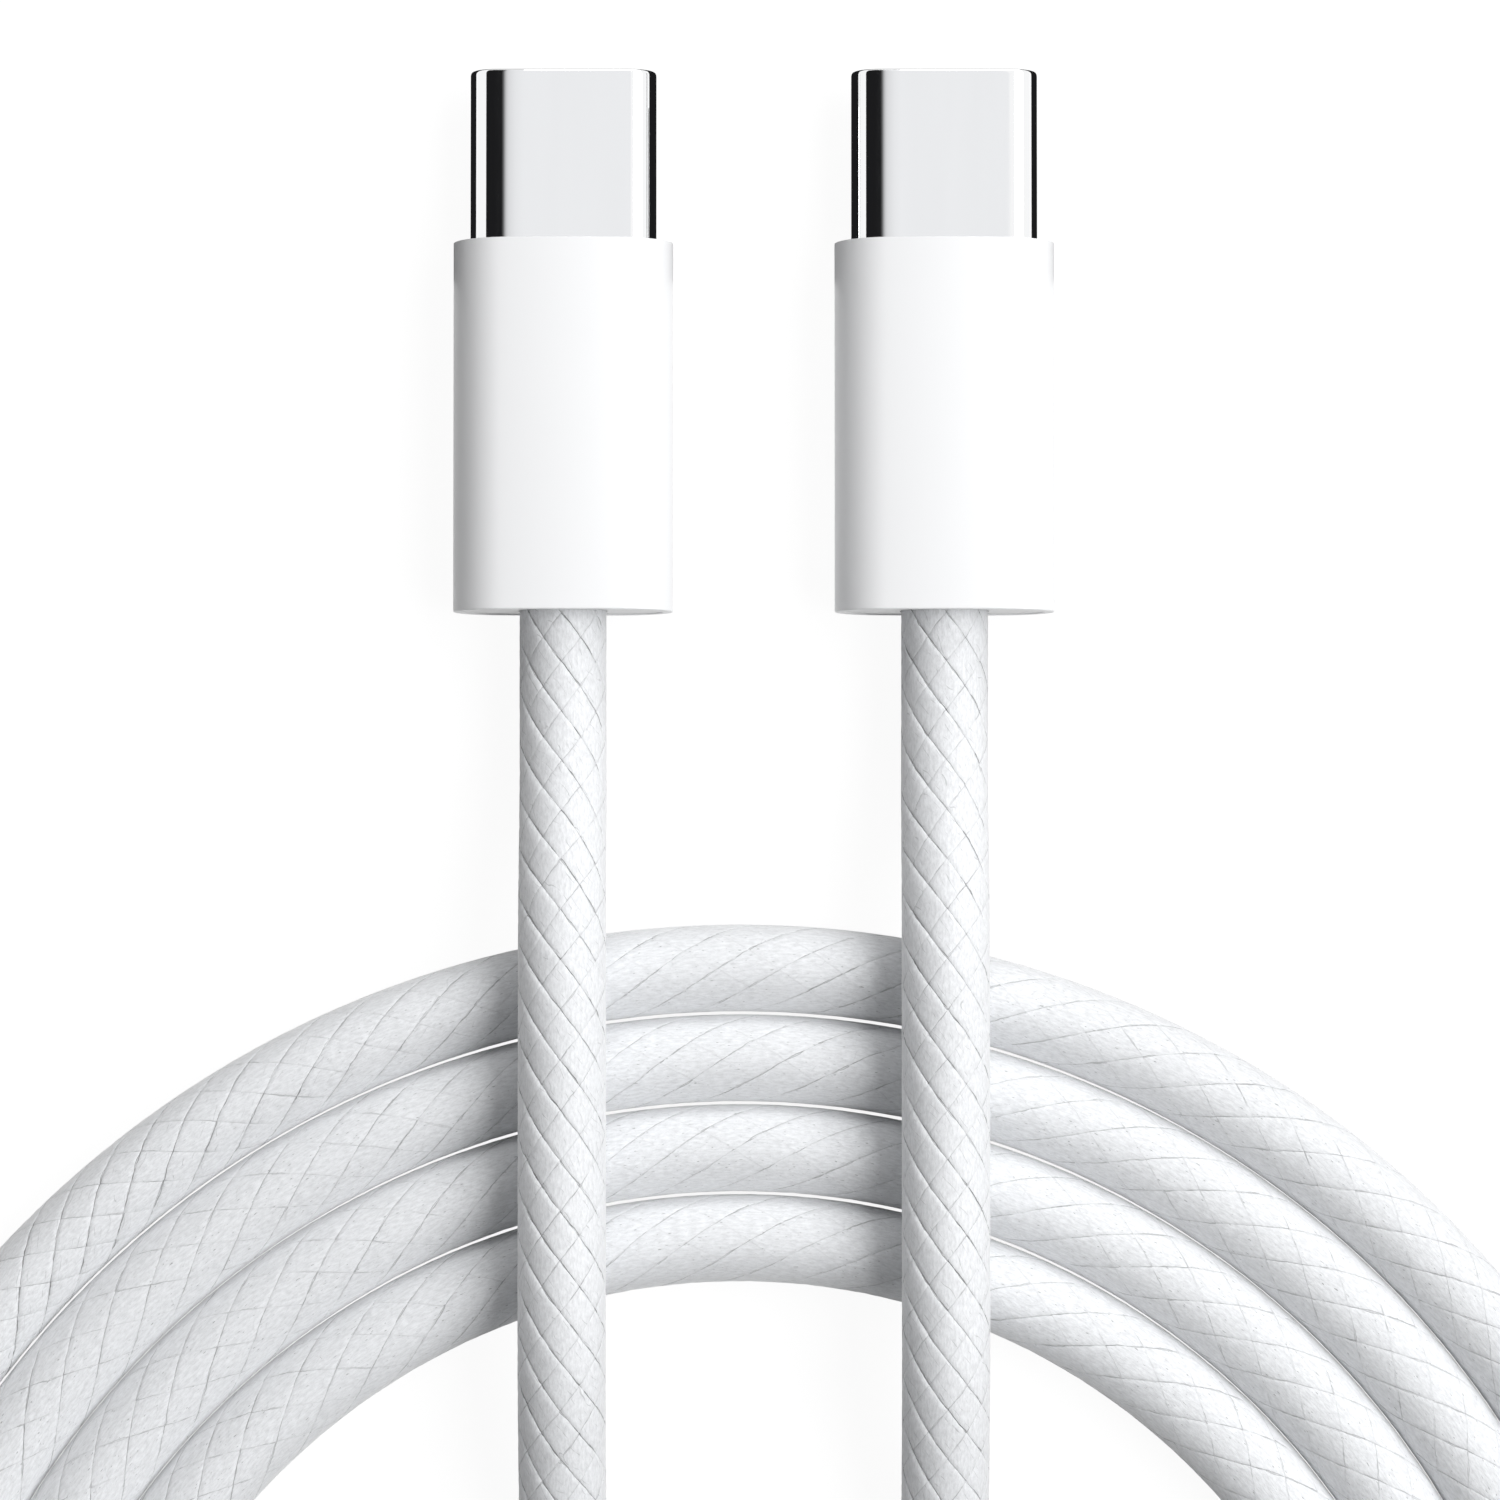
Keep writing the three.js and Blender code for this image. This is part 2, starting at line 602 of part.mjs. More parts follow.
// All pieces of one plug, in the plug's own frame: its axis along Y, its mid-plane at z = 0.
function makePlugPieces() {
  const contacts = [makeContacts(UPPER_CONTACTS), turned(makeContacts(LOWER_CONTACTS))];
  const latch = makeLatch();
  const spring = makeGroundSpring();
  const can = makeShieldCan();
  const wires = Object.entries(WIRES).map(([name, wire]) => {
    return [name, makeWire(wire), material(wire.colour, 0.5, 0)];
  });
  return [
    ["shell", makeShell(), MATERIALS.polished_steel],
    ["boot", makeBoot(), MATERIALS.glossy_white],
    ["rear_cap", makeRearCap(), MATERIALS.white_plastic],
    ["tongue_housing", makeTongueHousing(), MATERIALS.black_plastic],
    ["upper_contacts", contacts[0], MATERIALS.gold],
    ["lower_contacts", contacts[1], MATERIALS.gold],
    ["left_latch", latch, MATERIALS.spring_steel],
    ["right_latch", turned(latch), MATERIALS.spring_steel],
    ["upper_ground_spring", spring, MATERIALS.spring_steel],
    ["lower_ground_spring", turned(spring), MATERIALS.spring_steel],
    ["circuit_board", makeCircuitBoard(), MATERIALS.circuit_green],
    ["capacitor", makeCapacitor(), MATERIALS.ceramic_brown],
    ["shield_cover", can, MATERIALS.plated_steel],
    ["shield_base", turned(can), MATERIALS.plated_steel],
    ["cable_jacket", makeCableJacket(), MATERIALS.jacket_white],
    ["inner_mould", makeInnerMould(), MATERIALS.clear_mould],
    ...wires,
  ];
}

function makePlug(prefix, x) {
  const plug = new THREE.Group();
  plug.position.set(x, 0, bootHeight / 2);
  for (const [name, geometry, finish] of makePlugPieces()) {
    const mesh = new THREE.Mesh(geometry, finish);
    mesh.name = prefix + name;
    plug.add(mesh);
  }
  return plug;
}

// How far the coil is drawn in at an angle: nothing over its upper half, most at the bottom.
function drawnIn(angle) {
  const rise = Math.sin(angle);
  return rise < 0 ? COIL_FLATTENING * rise ** 4 : 0;
}

// How fast that changes with the angle.
function drawnInRate(angle) {
  const rise = Math.sin(angle);
  return rise < 0 ? 4 * COIL_FLATTENING * rise ** 3 * Math.cos(angle) : 0;
}

// The coil's centre line where its outward normal has this angle, so that all turns run parallel.
function coilPoint(angle) {
  const rate = COIL_PITCH / (2 * Math.PI);
  const reach = COIL_RADIUS + rate * (angle - Math.PI / 2) - drawnIn(angle);
  const lead = rate - drawnInRate(angle);
  return new THREE.Vector2(
    COIL_CENTRE[0] + reach * Math.cos(angle) - lead * Math.sin(angle),
    COIL_CENTRE[1] + reach * Math.sin(angle) + lead * Math.cos(angle),
  );
}

function alongCoil(angle) {
  return new THREE.Vector2(-Math.sin(angle), Math.cos(angle));
}

// Points along the coil's centre line, each with its heading. Its end steps are straight for a diameter.
function coilStations() {
  const from = THREE.MathUtils.degToRad(COIL_FROM);
  const to = THREE.MathUtils.degToRad(COIL_TO);
  const steps = Math.round(((to - from) / (2 * Math.PI)) * COIL_STEPS_PER_TURN);
  return Array.from({ length: steps + 1 }, (_, i) => {
    const angle = from + ((to - from) * i) / steps;
    return { point: coilPoint(angle), heading: alongCoil(angle) };
  });
}

const coilStep = (2 * Math.PI) / COIL_STEPS_PER_TURN;
const coilHalfWidth = (COIL_PITCH * Math.cos(coilStep / 2) - COIL_GAP) / 2;

// One unbroken tube of six sides, flat below, where it lies on the table, and above.
function makeCoil() {
  const rings = coilStations();
  const half = CORD_DIAMETER / 2;
  const positions = [];
  for (const { point, heading } of rings) {
    for (let k = 0; k < COIL_SIDES; k++) {
      const corner = (2 * Math.PI * k) / COIL_SIDES;
      const out = coilHalfWidth * Math.cos(corner);
      const up = half * Math.sign(Math.round(2 * Math.sin(corner)));
      positions.push(point.x + heading.y * out, point.y - heading.x * out, half + up);
    }
  }
  const index = [];
  for (let i = 0; i + 1 < rings.length; i++) {
    for (let k = 0; k < COIL_SIDES; k++) {
      const a = i * COIL_SIDES + k;
      const b = i * COIL_SIDES + ((k + 1) % COIL_SIDES);
      index.push(a, a + COIL_SIDES, b, b, a + COIL_SIDES, b + COIL_SIDES);
    }
  }
  const last = (rings.length - 1) * COIL_SIDES;
  for (let k = 1; k + 1 < COIL_SIDES; k++) {
    index.push(0, k, k + 1, last, last + k + 1, last + k);
  }
  const geometry = new THREE.BufferGeometry();
  geometry.setAttribute("position", new THREE.Float32BufferAttribute(positions, 3));
  geometry.setIndex(index);
  return geometry;
}

// The least gap between the coil's surface and its next turn, measured on points of its centre line.
function leastCoilGap() {
  const points = coilStations().map((station) => station.point);
  const apart = COIL_STEPS_PER_TURN / 2;
  let least = Infinity;
  points.forEach((point, i) => {
    for (let j = i + apart; j + 1 < points.length; j++) {
      const line = new THREE.Line3(
        new THREE.Vector3(points[j].x, points[j].y, 0),
        new THREE.Vector3(points[j + 1].x, points[j + 1].y, 0),
      );
      const here = new THREE.Vector3(point.x, point.y, 0);
      const nearest = line.closestPointToPoint(here, true, new THREE.Vector3());
      least = Math.min(least, nearest.distanceTo(here));
    }
  });
  return least - 2 * coilHalfWidth;
}

// A lead: straight out of its plug's cap, then along its route, ending square to the coil's end.
function makeLead(x, route, steps) {
  const start = [x, jacketRearY - CORD_END_GAP, bootHeight / 2];
  return tube([start, ...route], CORD_DIAMETER / 2, LEAD_SIDES, steps);
}

function addCord(cable) {
  const pieces = [
    ["lead_a", makeLead(-PLUG_SPACING / 2, LEAD_A_ROUTE, LEAD_A_STEPS)],
    ["coil", makeCoil()],
    ["lead_b", makeLead(PLUG_SPACING / 2, LEAD_B_ROUTE, LEAD_B_STEPS)],
  ];
  for (const [name, geometry] of pieces) {
    const mesh = new THREE.Mesh(geometry, MATERIALS.braid);
    mesh.name = name;
    cable.add(mesh);
  }
}

console.log("least gap of the coil to itself: " + leastCoilGap().toFixed(3) + " mm");

const cable = new THREE.Group();
cable.add(makePlug("plug_a_", -PLUG_SPACING / 2));
cable.add(makePlug("plug_b_", PLUG_SPACING / 2));
addCord(cable);

export default cable;
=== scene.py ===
"""A USB-C charging cable laid out flat: two plugs side by side, and one braided cord in a coil.

Lengths in the code are in metres, +Y is the way the plugs go in, +Z is up and the table is z = 0.
"""

import math

import bpy
import numpy as np
from bpy.props import FloatProperty, FloatVectorProperty, IntProperty, PointerProperty
from mathutils import Matrix, Vector


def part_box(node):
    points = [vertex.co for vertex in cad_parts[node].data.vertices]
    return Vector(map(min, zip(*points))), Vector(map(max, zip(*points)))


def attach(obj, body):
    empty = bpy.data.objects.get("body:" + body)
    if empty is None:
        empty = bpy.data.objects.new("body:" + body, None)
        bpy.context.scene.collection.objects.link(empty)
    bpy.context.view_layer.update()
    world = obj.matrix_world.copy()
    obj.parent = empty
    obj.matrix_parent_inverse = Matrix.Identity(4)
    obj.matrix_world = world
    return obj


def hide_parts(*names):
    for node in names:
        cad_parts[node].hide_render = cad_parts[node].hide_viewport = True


bl_info = {
    "name": "Charging cable",
    "version": (1, 0, 0),
    "blender": (4, 5, 0),
    "location": "View3D > Sidebar > Cable",
    "description": "Builds a braided charging cable with two plugs, and the table it lies on",
    "category": "Add Mesh",
}

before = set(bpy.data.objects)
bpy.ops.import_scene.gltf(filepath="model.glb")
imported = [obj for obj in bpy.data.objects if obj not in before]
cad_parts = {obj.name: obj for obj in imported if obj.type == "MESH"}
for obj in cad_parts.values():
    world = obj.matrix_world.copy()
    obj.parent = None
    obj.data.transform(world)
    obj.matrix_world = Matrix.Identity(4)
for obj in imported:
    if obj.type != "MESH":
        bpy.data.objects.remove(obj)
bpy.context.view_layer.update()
MM = 0.001
PLUGS = ("plug_a_", "plug_b_")


# Route of the cord, in millimetres. COIL_TURN is in degrees, and ROUTE_EASE counts steps.
CORD_START_Y = -9.88
PLUG_X = 8.45
PLUG_Z = 2.75
LEAD_START = (
    (8.45, -13, 2.75),
    (8.45, -16.2, 2.75),
    (8.42, -19.3, 3.2),
    (8.4, -22.4, 4.35),
    (8.38, -25.5, 5.5),
    (8.36, -28.6, 5.95),
    (8.36, -35, 5.95),
    (8.36, -41.4, 5.95),
)
LEAD_A_ROUTE = (
    *((-x, y, z) for x, y, z in LEAD_START),
    (-8.38, -45.6, 5.36),
    (-8.4, -49.7, 3.98),
    (-8.4, -53.8, 2.6),
    (-8.4, -58, 2),
    (-8.4, -65, 2),
    (-8.4, -72, 2),
    (-7.3, -78.5, 2),
    (-4, -84.2, 2),
    (1, -88.4, 2),
    (7.2, -90.6, 2),
    (13.7, -90.6, 2),
    (19.3, -88.7, 1.95),
    (22.42, -86.72, 1.93),
)
LEAD_B_ROUTE = (
    *LEAD_START,
    (8.38, -45.7, 5.36),
    (8.4, -49.9, 3.98),
    (8.4, -54.2, 2.6),
    (8.4, -58.4, 2),
    (8.4, -62.9, 2),
    (8.4, -67.4, 2),
    (8.4, -71.6, 2.56),
    (8.1, -75.9, 3.96),
    (7, -80, 5.36),
    (5, -83.8, 5.95),
    (-0.5, -89.1, 5.95),
    (-7.7, -91.8, 5.95),
    (-15.4, -91.4, 5.95),
    (-22.2, -87.9, 5.95),
    (-27.7, -82.3, 5.95),
    (-32.8, -76.4, 5.95),
    (-37.6, -70.2, 5.95),
    (-40.6, -63.3, 5.95),
    (-41.1, -59.3, 5.36),
    (-40.7, -55.4, 3.95),
    (-39.5, -51.6, 2.54),
    (-37.34, -48.15, 1.95),
    (-35.02, -45.08, 1.93),
)
COIL_CENTRE = (0, -70.3)
COIL_Z = 1.925
COIL_RADIUS = 30.62
COIL_PITCH = 3.98
COIL_FLATTENING = 6
COIL_TURN = (-52, 1223)
ROUTE_STEP = 0.2
ROUTE_EASE = 5


def length(name, description, default):
    """A setting that holds a length."""
    return FloatProperty(name=name, description=description, default=default, unit="LENGTH")


def colour_of(name, description, default):
    """A setting that holds a colour."""
    return FloatVectorProperty(
        name=name, description=description, default=default, subtype="COLOR"
    )


class CordSettings(bpy.types.PropertyGroup):
    """Sizes and colour of the braided cord."""

    diameter: length("Diameter", "Outside diameter of the braid", 3.85 * MM)
    strands: IntProperty(
        name="Strands each way",
        description="Flat strands that wind each way round the cord",
        default=7,
        min=3,
    )
    lay: length("Lay", "Length of cord in which a strand winds round once", 15.2 * MM)
    phase: length("Phase", "How far along the cord the pattern is moved", 1.04 * MM)
    coil_lay: length(
        "Lay in the coil",
        "Length of cord in which a strand winds round once, where the cord is coiled",
        19.291 * MM,
    )
    dip: length(
        "Dip",
        "How far a strand passes below the surface, under the one that it crosses",
        0.18 * MM,
    )
    groove: length("Groove", "Depth of the narrow grooves between the strands", 0.03 * MM)
    swell: length(
        "Swell", "How much the turns fill out sideways at the coil's left and right", 0.05 * MM
    )
    bevel: length(
        "Bevel",
        "How much lower the edges of a strand lie at the left of the straight leads",
        0.06 * MM,
    )
    colour: colour_of("Yarn", "Colour of the yarn", (0.86, 0.874, 0.895))


class PlugSettings(bpy.types.PropertyGroup):
    """Sizes and colours of the plugs."""

    shell_wall: length("Shell wall", "Thickness of the drawn steel", 0.27 * MM)
    shell_rim: length("Shell rim", "Radius of the shell's rounded rim", 0.13 * MM)
    boot_wall: length("Boot wall", "Thickness of the sleeve", 0.45 * MM)
    boot_front: length("Boot front wall", "Thickness of the sleeve's front wall", 0.8 * MM)
    boot_edge: length("Boot edge", "Radius of the sleeve's outer edges", 0.06 * MM)
    boot_crown: FloatProperty(
        name="Boot crown",
        description="Angle by which the sleeve's flat sides turn each way from their middle",
        default=math.radians(8),
        subtype="ANGLE",
    )
    shell_gap: length(
        "Gap round the shell", "Clearance between the shell and the sleeve's mouth", 0.03 * MM
    )
    boot_colour: colour_of("Boot", "Colour of the sleeve", (0.9, 0.905, 0.915))
    steel_colour: colour_of("Steel", "Colour of the polished shell", (0.93, 0.935, 0.94))


class StageSettings(bpy.types.PropertyGroup):
    """Camera, lamp and table."""

    lens: FloatProperty(
        name="Lens",
        description="Focal length in millimetres",
        default=120,
    )
    camera_foot: FloatVectorProperty(
        name="Camera",
        description="Where the camera stands",
        subtype="TRANSLATION",
        default=(-0.17 * MM, -24.3 * MM, 224 * MM),
    )
    camera_aim: FloatVectorProperty(
        name="Aim",
        description="The point the camera looks at",
        subtype="TRANSLATION",
        default=(-0.17 * MM, -18.1 * MM, 2.75 * MM),
    )
    lamp_distance: length("Lamp distance", "How far the soft lamp is from the cable", 0.6)
    lamp_size: length("Lamp width", "Width of the soft lamp", 0.4)
    lamp_length: length("Lamp length", "Length of the soft lamp, along the plugs", 1.0)
    lamp_power: FloatProperty(
        name="Lamp power",
        description="Power of the soft lamp in watts",
        default=4.3,
    )
    low_power: FloatProperty(
        name="Low lamp power",
        description="Power of the low lamp before the plugs in watts",
        default=1.7,
    )
    table_colour: colour_of("Table", "Colour of the table's surface", (0.45, 0.45, 0.45))


# Shapes


def smooth_line(points, steps=30):
    """A centripetal Catmull-Rom curve through the points, as an array of points.

    Between points b and c, with knots spaced by the square root of each chord, it is the cubic
    that leaves b and reaches c with the slopes of the quadratics through their neighbours.
    """
    p = np.asarray(points, float)
    p = np.vstack([2 * p[0] - p[1], p, 2 * p[-1] - p[-2]])
    knots = np.linalg.norm(np.diff(p, axis=0), axis=1) ** 0.5
    before, within, after = (knots[i : len(knots) - 2 + i, None] for i in range(3))
    a, b, c, d = (p[i : len(p) - 3 + i] for i in range(4))
    leave = ((b - a) / before - (c - a) / (before + within) + (c - b) / within) * within
    reach = ((c - b) / within - (d - b) / (within + after) + (d - c) / after) * within
    b, c, leave, reach = (x[:, None, :] for x in (b, c, leave, reach))
    t = np.linspace(0, 1, steps, endpoint=False)[None, :, None]
    line = (2 * t**3 - 3 * t**2 + 1) * b + (t**3 - 2 * t**2 + t) * leave
    line = line + (3 * t**2 - 2 * t**3) * c + (t**3 - t**2) * reach
    return np.vstack([line.reshape(-1, 3), p[-2]])


def coil_line(steps=1300):
    """The flat coil's centre line. At an outward angle a the reach from the middle is
    r(a) = radius + rate (a - pi/2) - f sin(a)^4, the last term only on the lower half, and the
    point is r(a) along the outward direction plus r'(a) along the heading, so that the turns
    run parallel."""
    a = np.radians(np.linspace(*COIL_TURN, steps))
    rate = COIL_PITCH / math.tau
    low = np.sin(a) < 0
    drawn = np.where(low, COIL_FLATTENING * np.sin(a) ** 4, 0)
    drawn_rate = np.where(low, 4 * COIL_FLATTENING * np.sin(a) ** 3 * np.cos(a), 0)
    reach = COIL_RADIUS + rate * (a - math.pi / 2) - drawn
    lead = rate - drawn_rate
    x = COIL_CENTRE[0] + reach * np.cos(a) - lead * np.sin(a)
    y = COIL_CENTRE[1] + reach * np.sin(a) + lead * np.cos(a)
    return np.stack([x, y, np.full_like(x, COIL_Z)], 1)


def evenly(line, step):
    """The line's points moved to equal distances along it, about a step apart."""
    along = np.concatenate([[0], np.cumsum(np.linalg.norm(np.diff(line, axis=0), axis=1))])
    places = np.linspace(0, along[-1], round(along[-1] / step) + 1)
    return np.stack([np.interp(places, along, line[:, i]) for i in range(3)], 1)


def relaxed(line, reach):
    """The line averaged over reach points each way, twice, with its ends held: each point
    becomes the mean of its neighbours."""
    kernel = np.ones(2 * reach + 1) / (2 * reach + 1)
    for _ in range(2):
        start = 2 * line[0] - line[reach:0:-1]
        end = 2 * line[-1] - line[-2 : -reach - 2 : -1]
        padded = np.vstack([start, line, end])
        line = np.stack([np.convolve(padded[:, i], kernel, "valid") for i in range(3)], 1)
    return line


def cord_line(step):
    """The whole cord's centre line from plug a to plug b, in metres, with its distances."""
    lead_a = smooth_line(((-PLUG_X, CORD_START_Y, PLUG_Z), *LEAD_A_ROUTE))
    lead_b = smooth_line(((PLUG_X, CORD_START_Y, PLUG_Z), *LEAD_B_ROUTE))
    whole = np.vstack([lead_a, coil_line(), lead_b[::-1]])
    line = evenly(relaxed(evenly(whole, ROUTE_STEP), ROUTE_EASE), step / MM)
    places = np.linspace(0, 1, len(line)) * np.linalg.norm(np.diff(line, axis=0), axis=1).sum()
    return line * MM, places * MM


def coil_ends(line, places):
    """The distances along the cord at which its coil begins and ends."""
    found = []
    for point in coil_line(2) * MM:
        found.append(places[np.linalg.norm(line - point, axis=1).argmin()])
    return found


def cord_frame(line):
    """Sideways and upward directions along a line: left = up x heading, above = heading x left."""
    heading = np.gradient(line, axis=0)
    heading /= np.linalg.norm(heading, axis=1, keepdims=True)
    left = np.cross([0, 0, 1], heading)
    left /= np.linalg.norm(left, axis=1, keepdims=True)
    return left, np.cross(heading, left)


def grid_faces(rows, columns):
    """Quads of a sheet of rows by columns points whose columns close into a ring."""
    i, j = np.meshgrid(np.arange(rows - 1), np.arange(columns), indexing="ij")
    k = (j + 1) % columns
    a, b = i * columns + j, i * columns + k
    return np.stack([a, b, b + columns, a + columns], -1).reshape(-1, 4)


def end_caps(rows, columns):
    """The two many-sided faces that close such a sheet's first and last ring."""
    ring = np.arange(columns)
    return [ring[::-1], (rows - 1) * columns + ring]


def volume(points, faces):
    """Signed volume inside quads: a sixth of the triple products of their triangles' corners."""
    a, b, c, d = (points[faces[:, i]] for i in range(4))
    return (np.cross(a, b) * c).sum() / 6 + (np.cross(a, c) * d).sum() / 6


def new_piece(name, points, faces, finish, caps=(), uv=None):
    """A smooth-shaded mesh object of quads, with many-sided caps, facing outwards, that rides
    on the cable. uv has one row for each point."""
    points = np.ascontiguousarray(points, np.float32)
    if volume(points.astype(float), faces) < 0:
        faces = faces[:, ::-1]
        caps = [cap[::-1] for cap in caps]
    corners = np.concatenate([faces.ravel(), *caps]).astype(np.int32)
    totals = np.concatenate([np.full(len(faces), 4), [len(cap) for cap in caps]]).astype(np.int32)
    starts = np.concatenate([[0], np.cumsum(totals)[:-1]]).astype(np.int32)
    mesh = bpy.data.meshes.new(name)
    mesh.vertices.add(len(points))
    mesh.vertices.foreach_set("co", points.ravel())
    mesh.loops.add(len(corners))
    mesh.loops.foreach_set("vertex_index", corners)
    mesh.polygons.add(len(totals))
    mesh.polygons.foreach_set("loop_start", starts)
    mesh.polygons.foreach_set("use_smooth", np.ones(len(totals), bool))
    if uv is not None:
        layer = mesh.uv_layers.new(name="Weave")
        layer.uv.foreach_set("vector", uv[corners].astype(np.float32).ravel())
    mesh.update(calc_edges=True)
    mesh.validate()
    piece = bpy.data.objects.new(name, mesh)
    bpy.context.scene.collection.objects.link(piece)
    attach(piece, "cable")
    mesh.materials.append(finish)
    return piece


def round_tube(line, radius, sides):
    """Points of a tube: centre + radius (above cos t + left sin t), t once round at each point."""
    left, above = cord_frame(line)
    t = np.linspace(0, math.tau, sides, endpoint=False)[None, :, None]
    ring = above[:, None, :] * np.cos(t) + left[:, None, :] * np.sin(t)
    return (line[:, None, :] + radius * ring).reshape(-1, 3)


# A strand's points, in crossings from the middle of a float, a stretch where it is on top:
# places across it, places along it, and places under the strand that comes next.
ACROSS = np.array([-0.496, -0.465, -0.33, 0, 0.33, 0.465, 0.496])
ALONG = np.array([-0.5, -0.465, -0.33, 0, 0.33, 0.465, 0.5])
HIDDEN = np.array([0.508, 1, 1.492])
MIDDLE = len(ACROSS) // 2
# Also in crossings: the stretch without rows at the cord's ends, the width of the grooves, and
# the place across a bevelled strand where it is highest.
END_STRETCH = 0.6
GROOVE_WIDTH = 0.05
CREST = 0.33
# The part of the groove's depth at the seams of the strands that wind right, and in the coil at
# those of the strands that wind left.
RIGHT_GROOVE = 0.5
COIL_GROOVE = 0.6
# Where the leads are bevelled, by the sine of how far a strand faces left in the picture: from
# the first value to the last, and wholly between the middle two.
BEVELLED = (0.15, 0.45, 0.8, 0.95)
# How strands wander sideways: size in crossings, rate along the cord, and turns round it.
WANDER = ((0.01, 0.83, 0), (0.012, 1.71, 1))
# A strand's thickness, the length over which a lead becomes coil, and how far to the left and
# right of the coil's middle its turns begin to fill out and are full.
STRAND_DEPTH = 0.1 * MM
BLEND = 40 * MM
FILLED_OUT = (9 * MM, 21 * MM)


def rising(value, start, end):
    """0 up to start, 1 from end on, and a straight line between them."""
    return np.clip((value - start) / (end - start), 0, 1)


def turns(line, places, cord, ends):
    """How many times a strand has wound round at each point: the sum of step / lay, where a step
    is measured level along the cord's upper side, and the lay passes smoothly from the leads' to
    the coil's and back at the two ends of the coil."""
    inside = bent(places, ends)
    lay = cord.lay + (cord.coil_lay - cord.lay) * inside
    _, above = cord_frame(line)
    upper = (line + cord.diameter / 2 * above)[:, :2]
    steps = np.linalg.norm(np.diff(upper, axis=0), axis=1) / ((lay[1:] + lay[:-1]) / 2)
    return np.concatenate([[0], np.cumsum(steps)])


def bent(places, ends):
    """1 in the coil and 0 on the leads, with a smooth step 3 t^2 - 2 t^3 at each of its ends."""
    t = rising(np.minimum(places - ends[0], ends[1] - places), 0, BLEND)
    return t * t * (3 - 2 * t)


def unevenness(p, q, strands):
    """Small sideways shift of the lattice point (p, q), in crossings: the sum over WANDER of
    size sin(rate (q - p) + turns pi (p + q) / n)."""
    along, round_cord = q - p, math.pi * (p + q) / strands
    return sum(size * np.sin(rate * along + turn * round_cord) for size, rate, turn in WANDER)


def lattice_to_cord(p, q, height, line, places, turned, cord):
    """Points of the braid's lattice. Strands that wind left run along q at whole numbers of p,
    and the others along p at whole numbers of q. With n strands each way, the point (p, q) lies
    at the angle pi (p + q) / n from the top, where the winding 2 n turns(s) equals q - p, and
    height above the braid's radius."""
    left, above = cord_frame(line)
    shift = unevenness(p, q, cord.strands)
    angle = math.pi * (p + q + shift) / cord.strands
    winding = (q - p + shift) / (2 * cord.strands)
    s = np.interp(winding, turned, places)
    centre, side, up = (
        np.stack([np.interp(s, places, of[:, i]) for i in range(3)], -1)
        for of in (line, left, above)
    )
    spoke = up * np.cos(angle)[..., None] + side * np.sin(angle)[..., None]
    return centre + (cord.diameter / 2 + height)[..., None] * spoke


def strand_rows(own, over, way, first, last):
    """A strand's rows of points, in crossings: over + 2 i plus each of ALONG and HIDDEN, for the
    whole numbers i that keep them inside the cord, in the order in which the strand runs. With
    them come 1 where the strand is on top, and the distance to the end of its float."""
    reach = np.add.outer(own[[0, -1]], [way * first, way * last])
    low = math.floor((reach.min() - over) / 2) - 1
    high = math.ceil((reach.max() - over) / 2) + 2
    middles = over + 2 * np.arange(low, high)
    period = np.concatenate([ALONG, HIDDEN])
    rows = (middles[:, None] + period).ravel()
    shown = np.tile((period <= ALONG[-1]).astype(float), len(middles))
    end_distance = np.tile(0.5 - np.abs(period), len(middles))
    begin, finish = own.mean() + way * first, own.mean() + way * last
    keep = (way * (rows - begin) > END_STRETCH) & (way * (finish - rows) > END_STRETCH)
    return [of[keep][::way] for of in (rows, shown, end_distance)]


def bevelled(p, q, place, returning, strands):
    """The bevel's part at each point. It is 0 at CREST and rises evenly to 1 at both edges of a
    strand, where the strand faces left as BEVELLED says. place is measured across the strands
    that wind left. The cord's second half is returning, so left and right change sides on it."""
    leftward = np.sin(math.pi * (p + q) / strands) * np.where(returning, 1, -1)
    begin, whole, still, end = BEVELLED
    facing = rising(leftward, begin, whole) * rising(-leftward, -end, -still)
    across = np.where(returning, -place, place)
    to_edges = np.where(across > CREST, rising(across, CREST, 0.5), rising(-across, -CREST, 0.5))
    return facing * to_edges


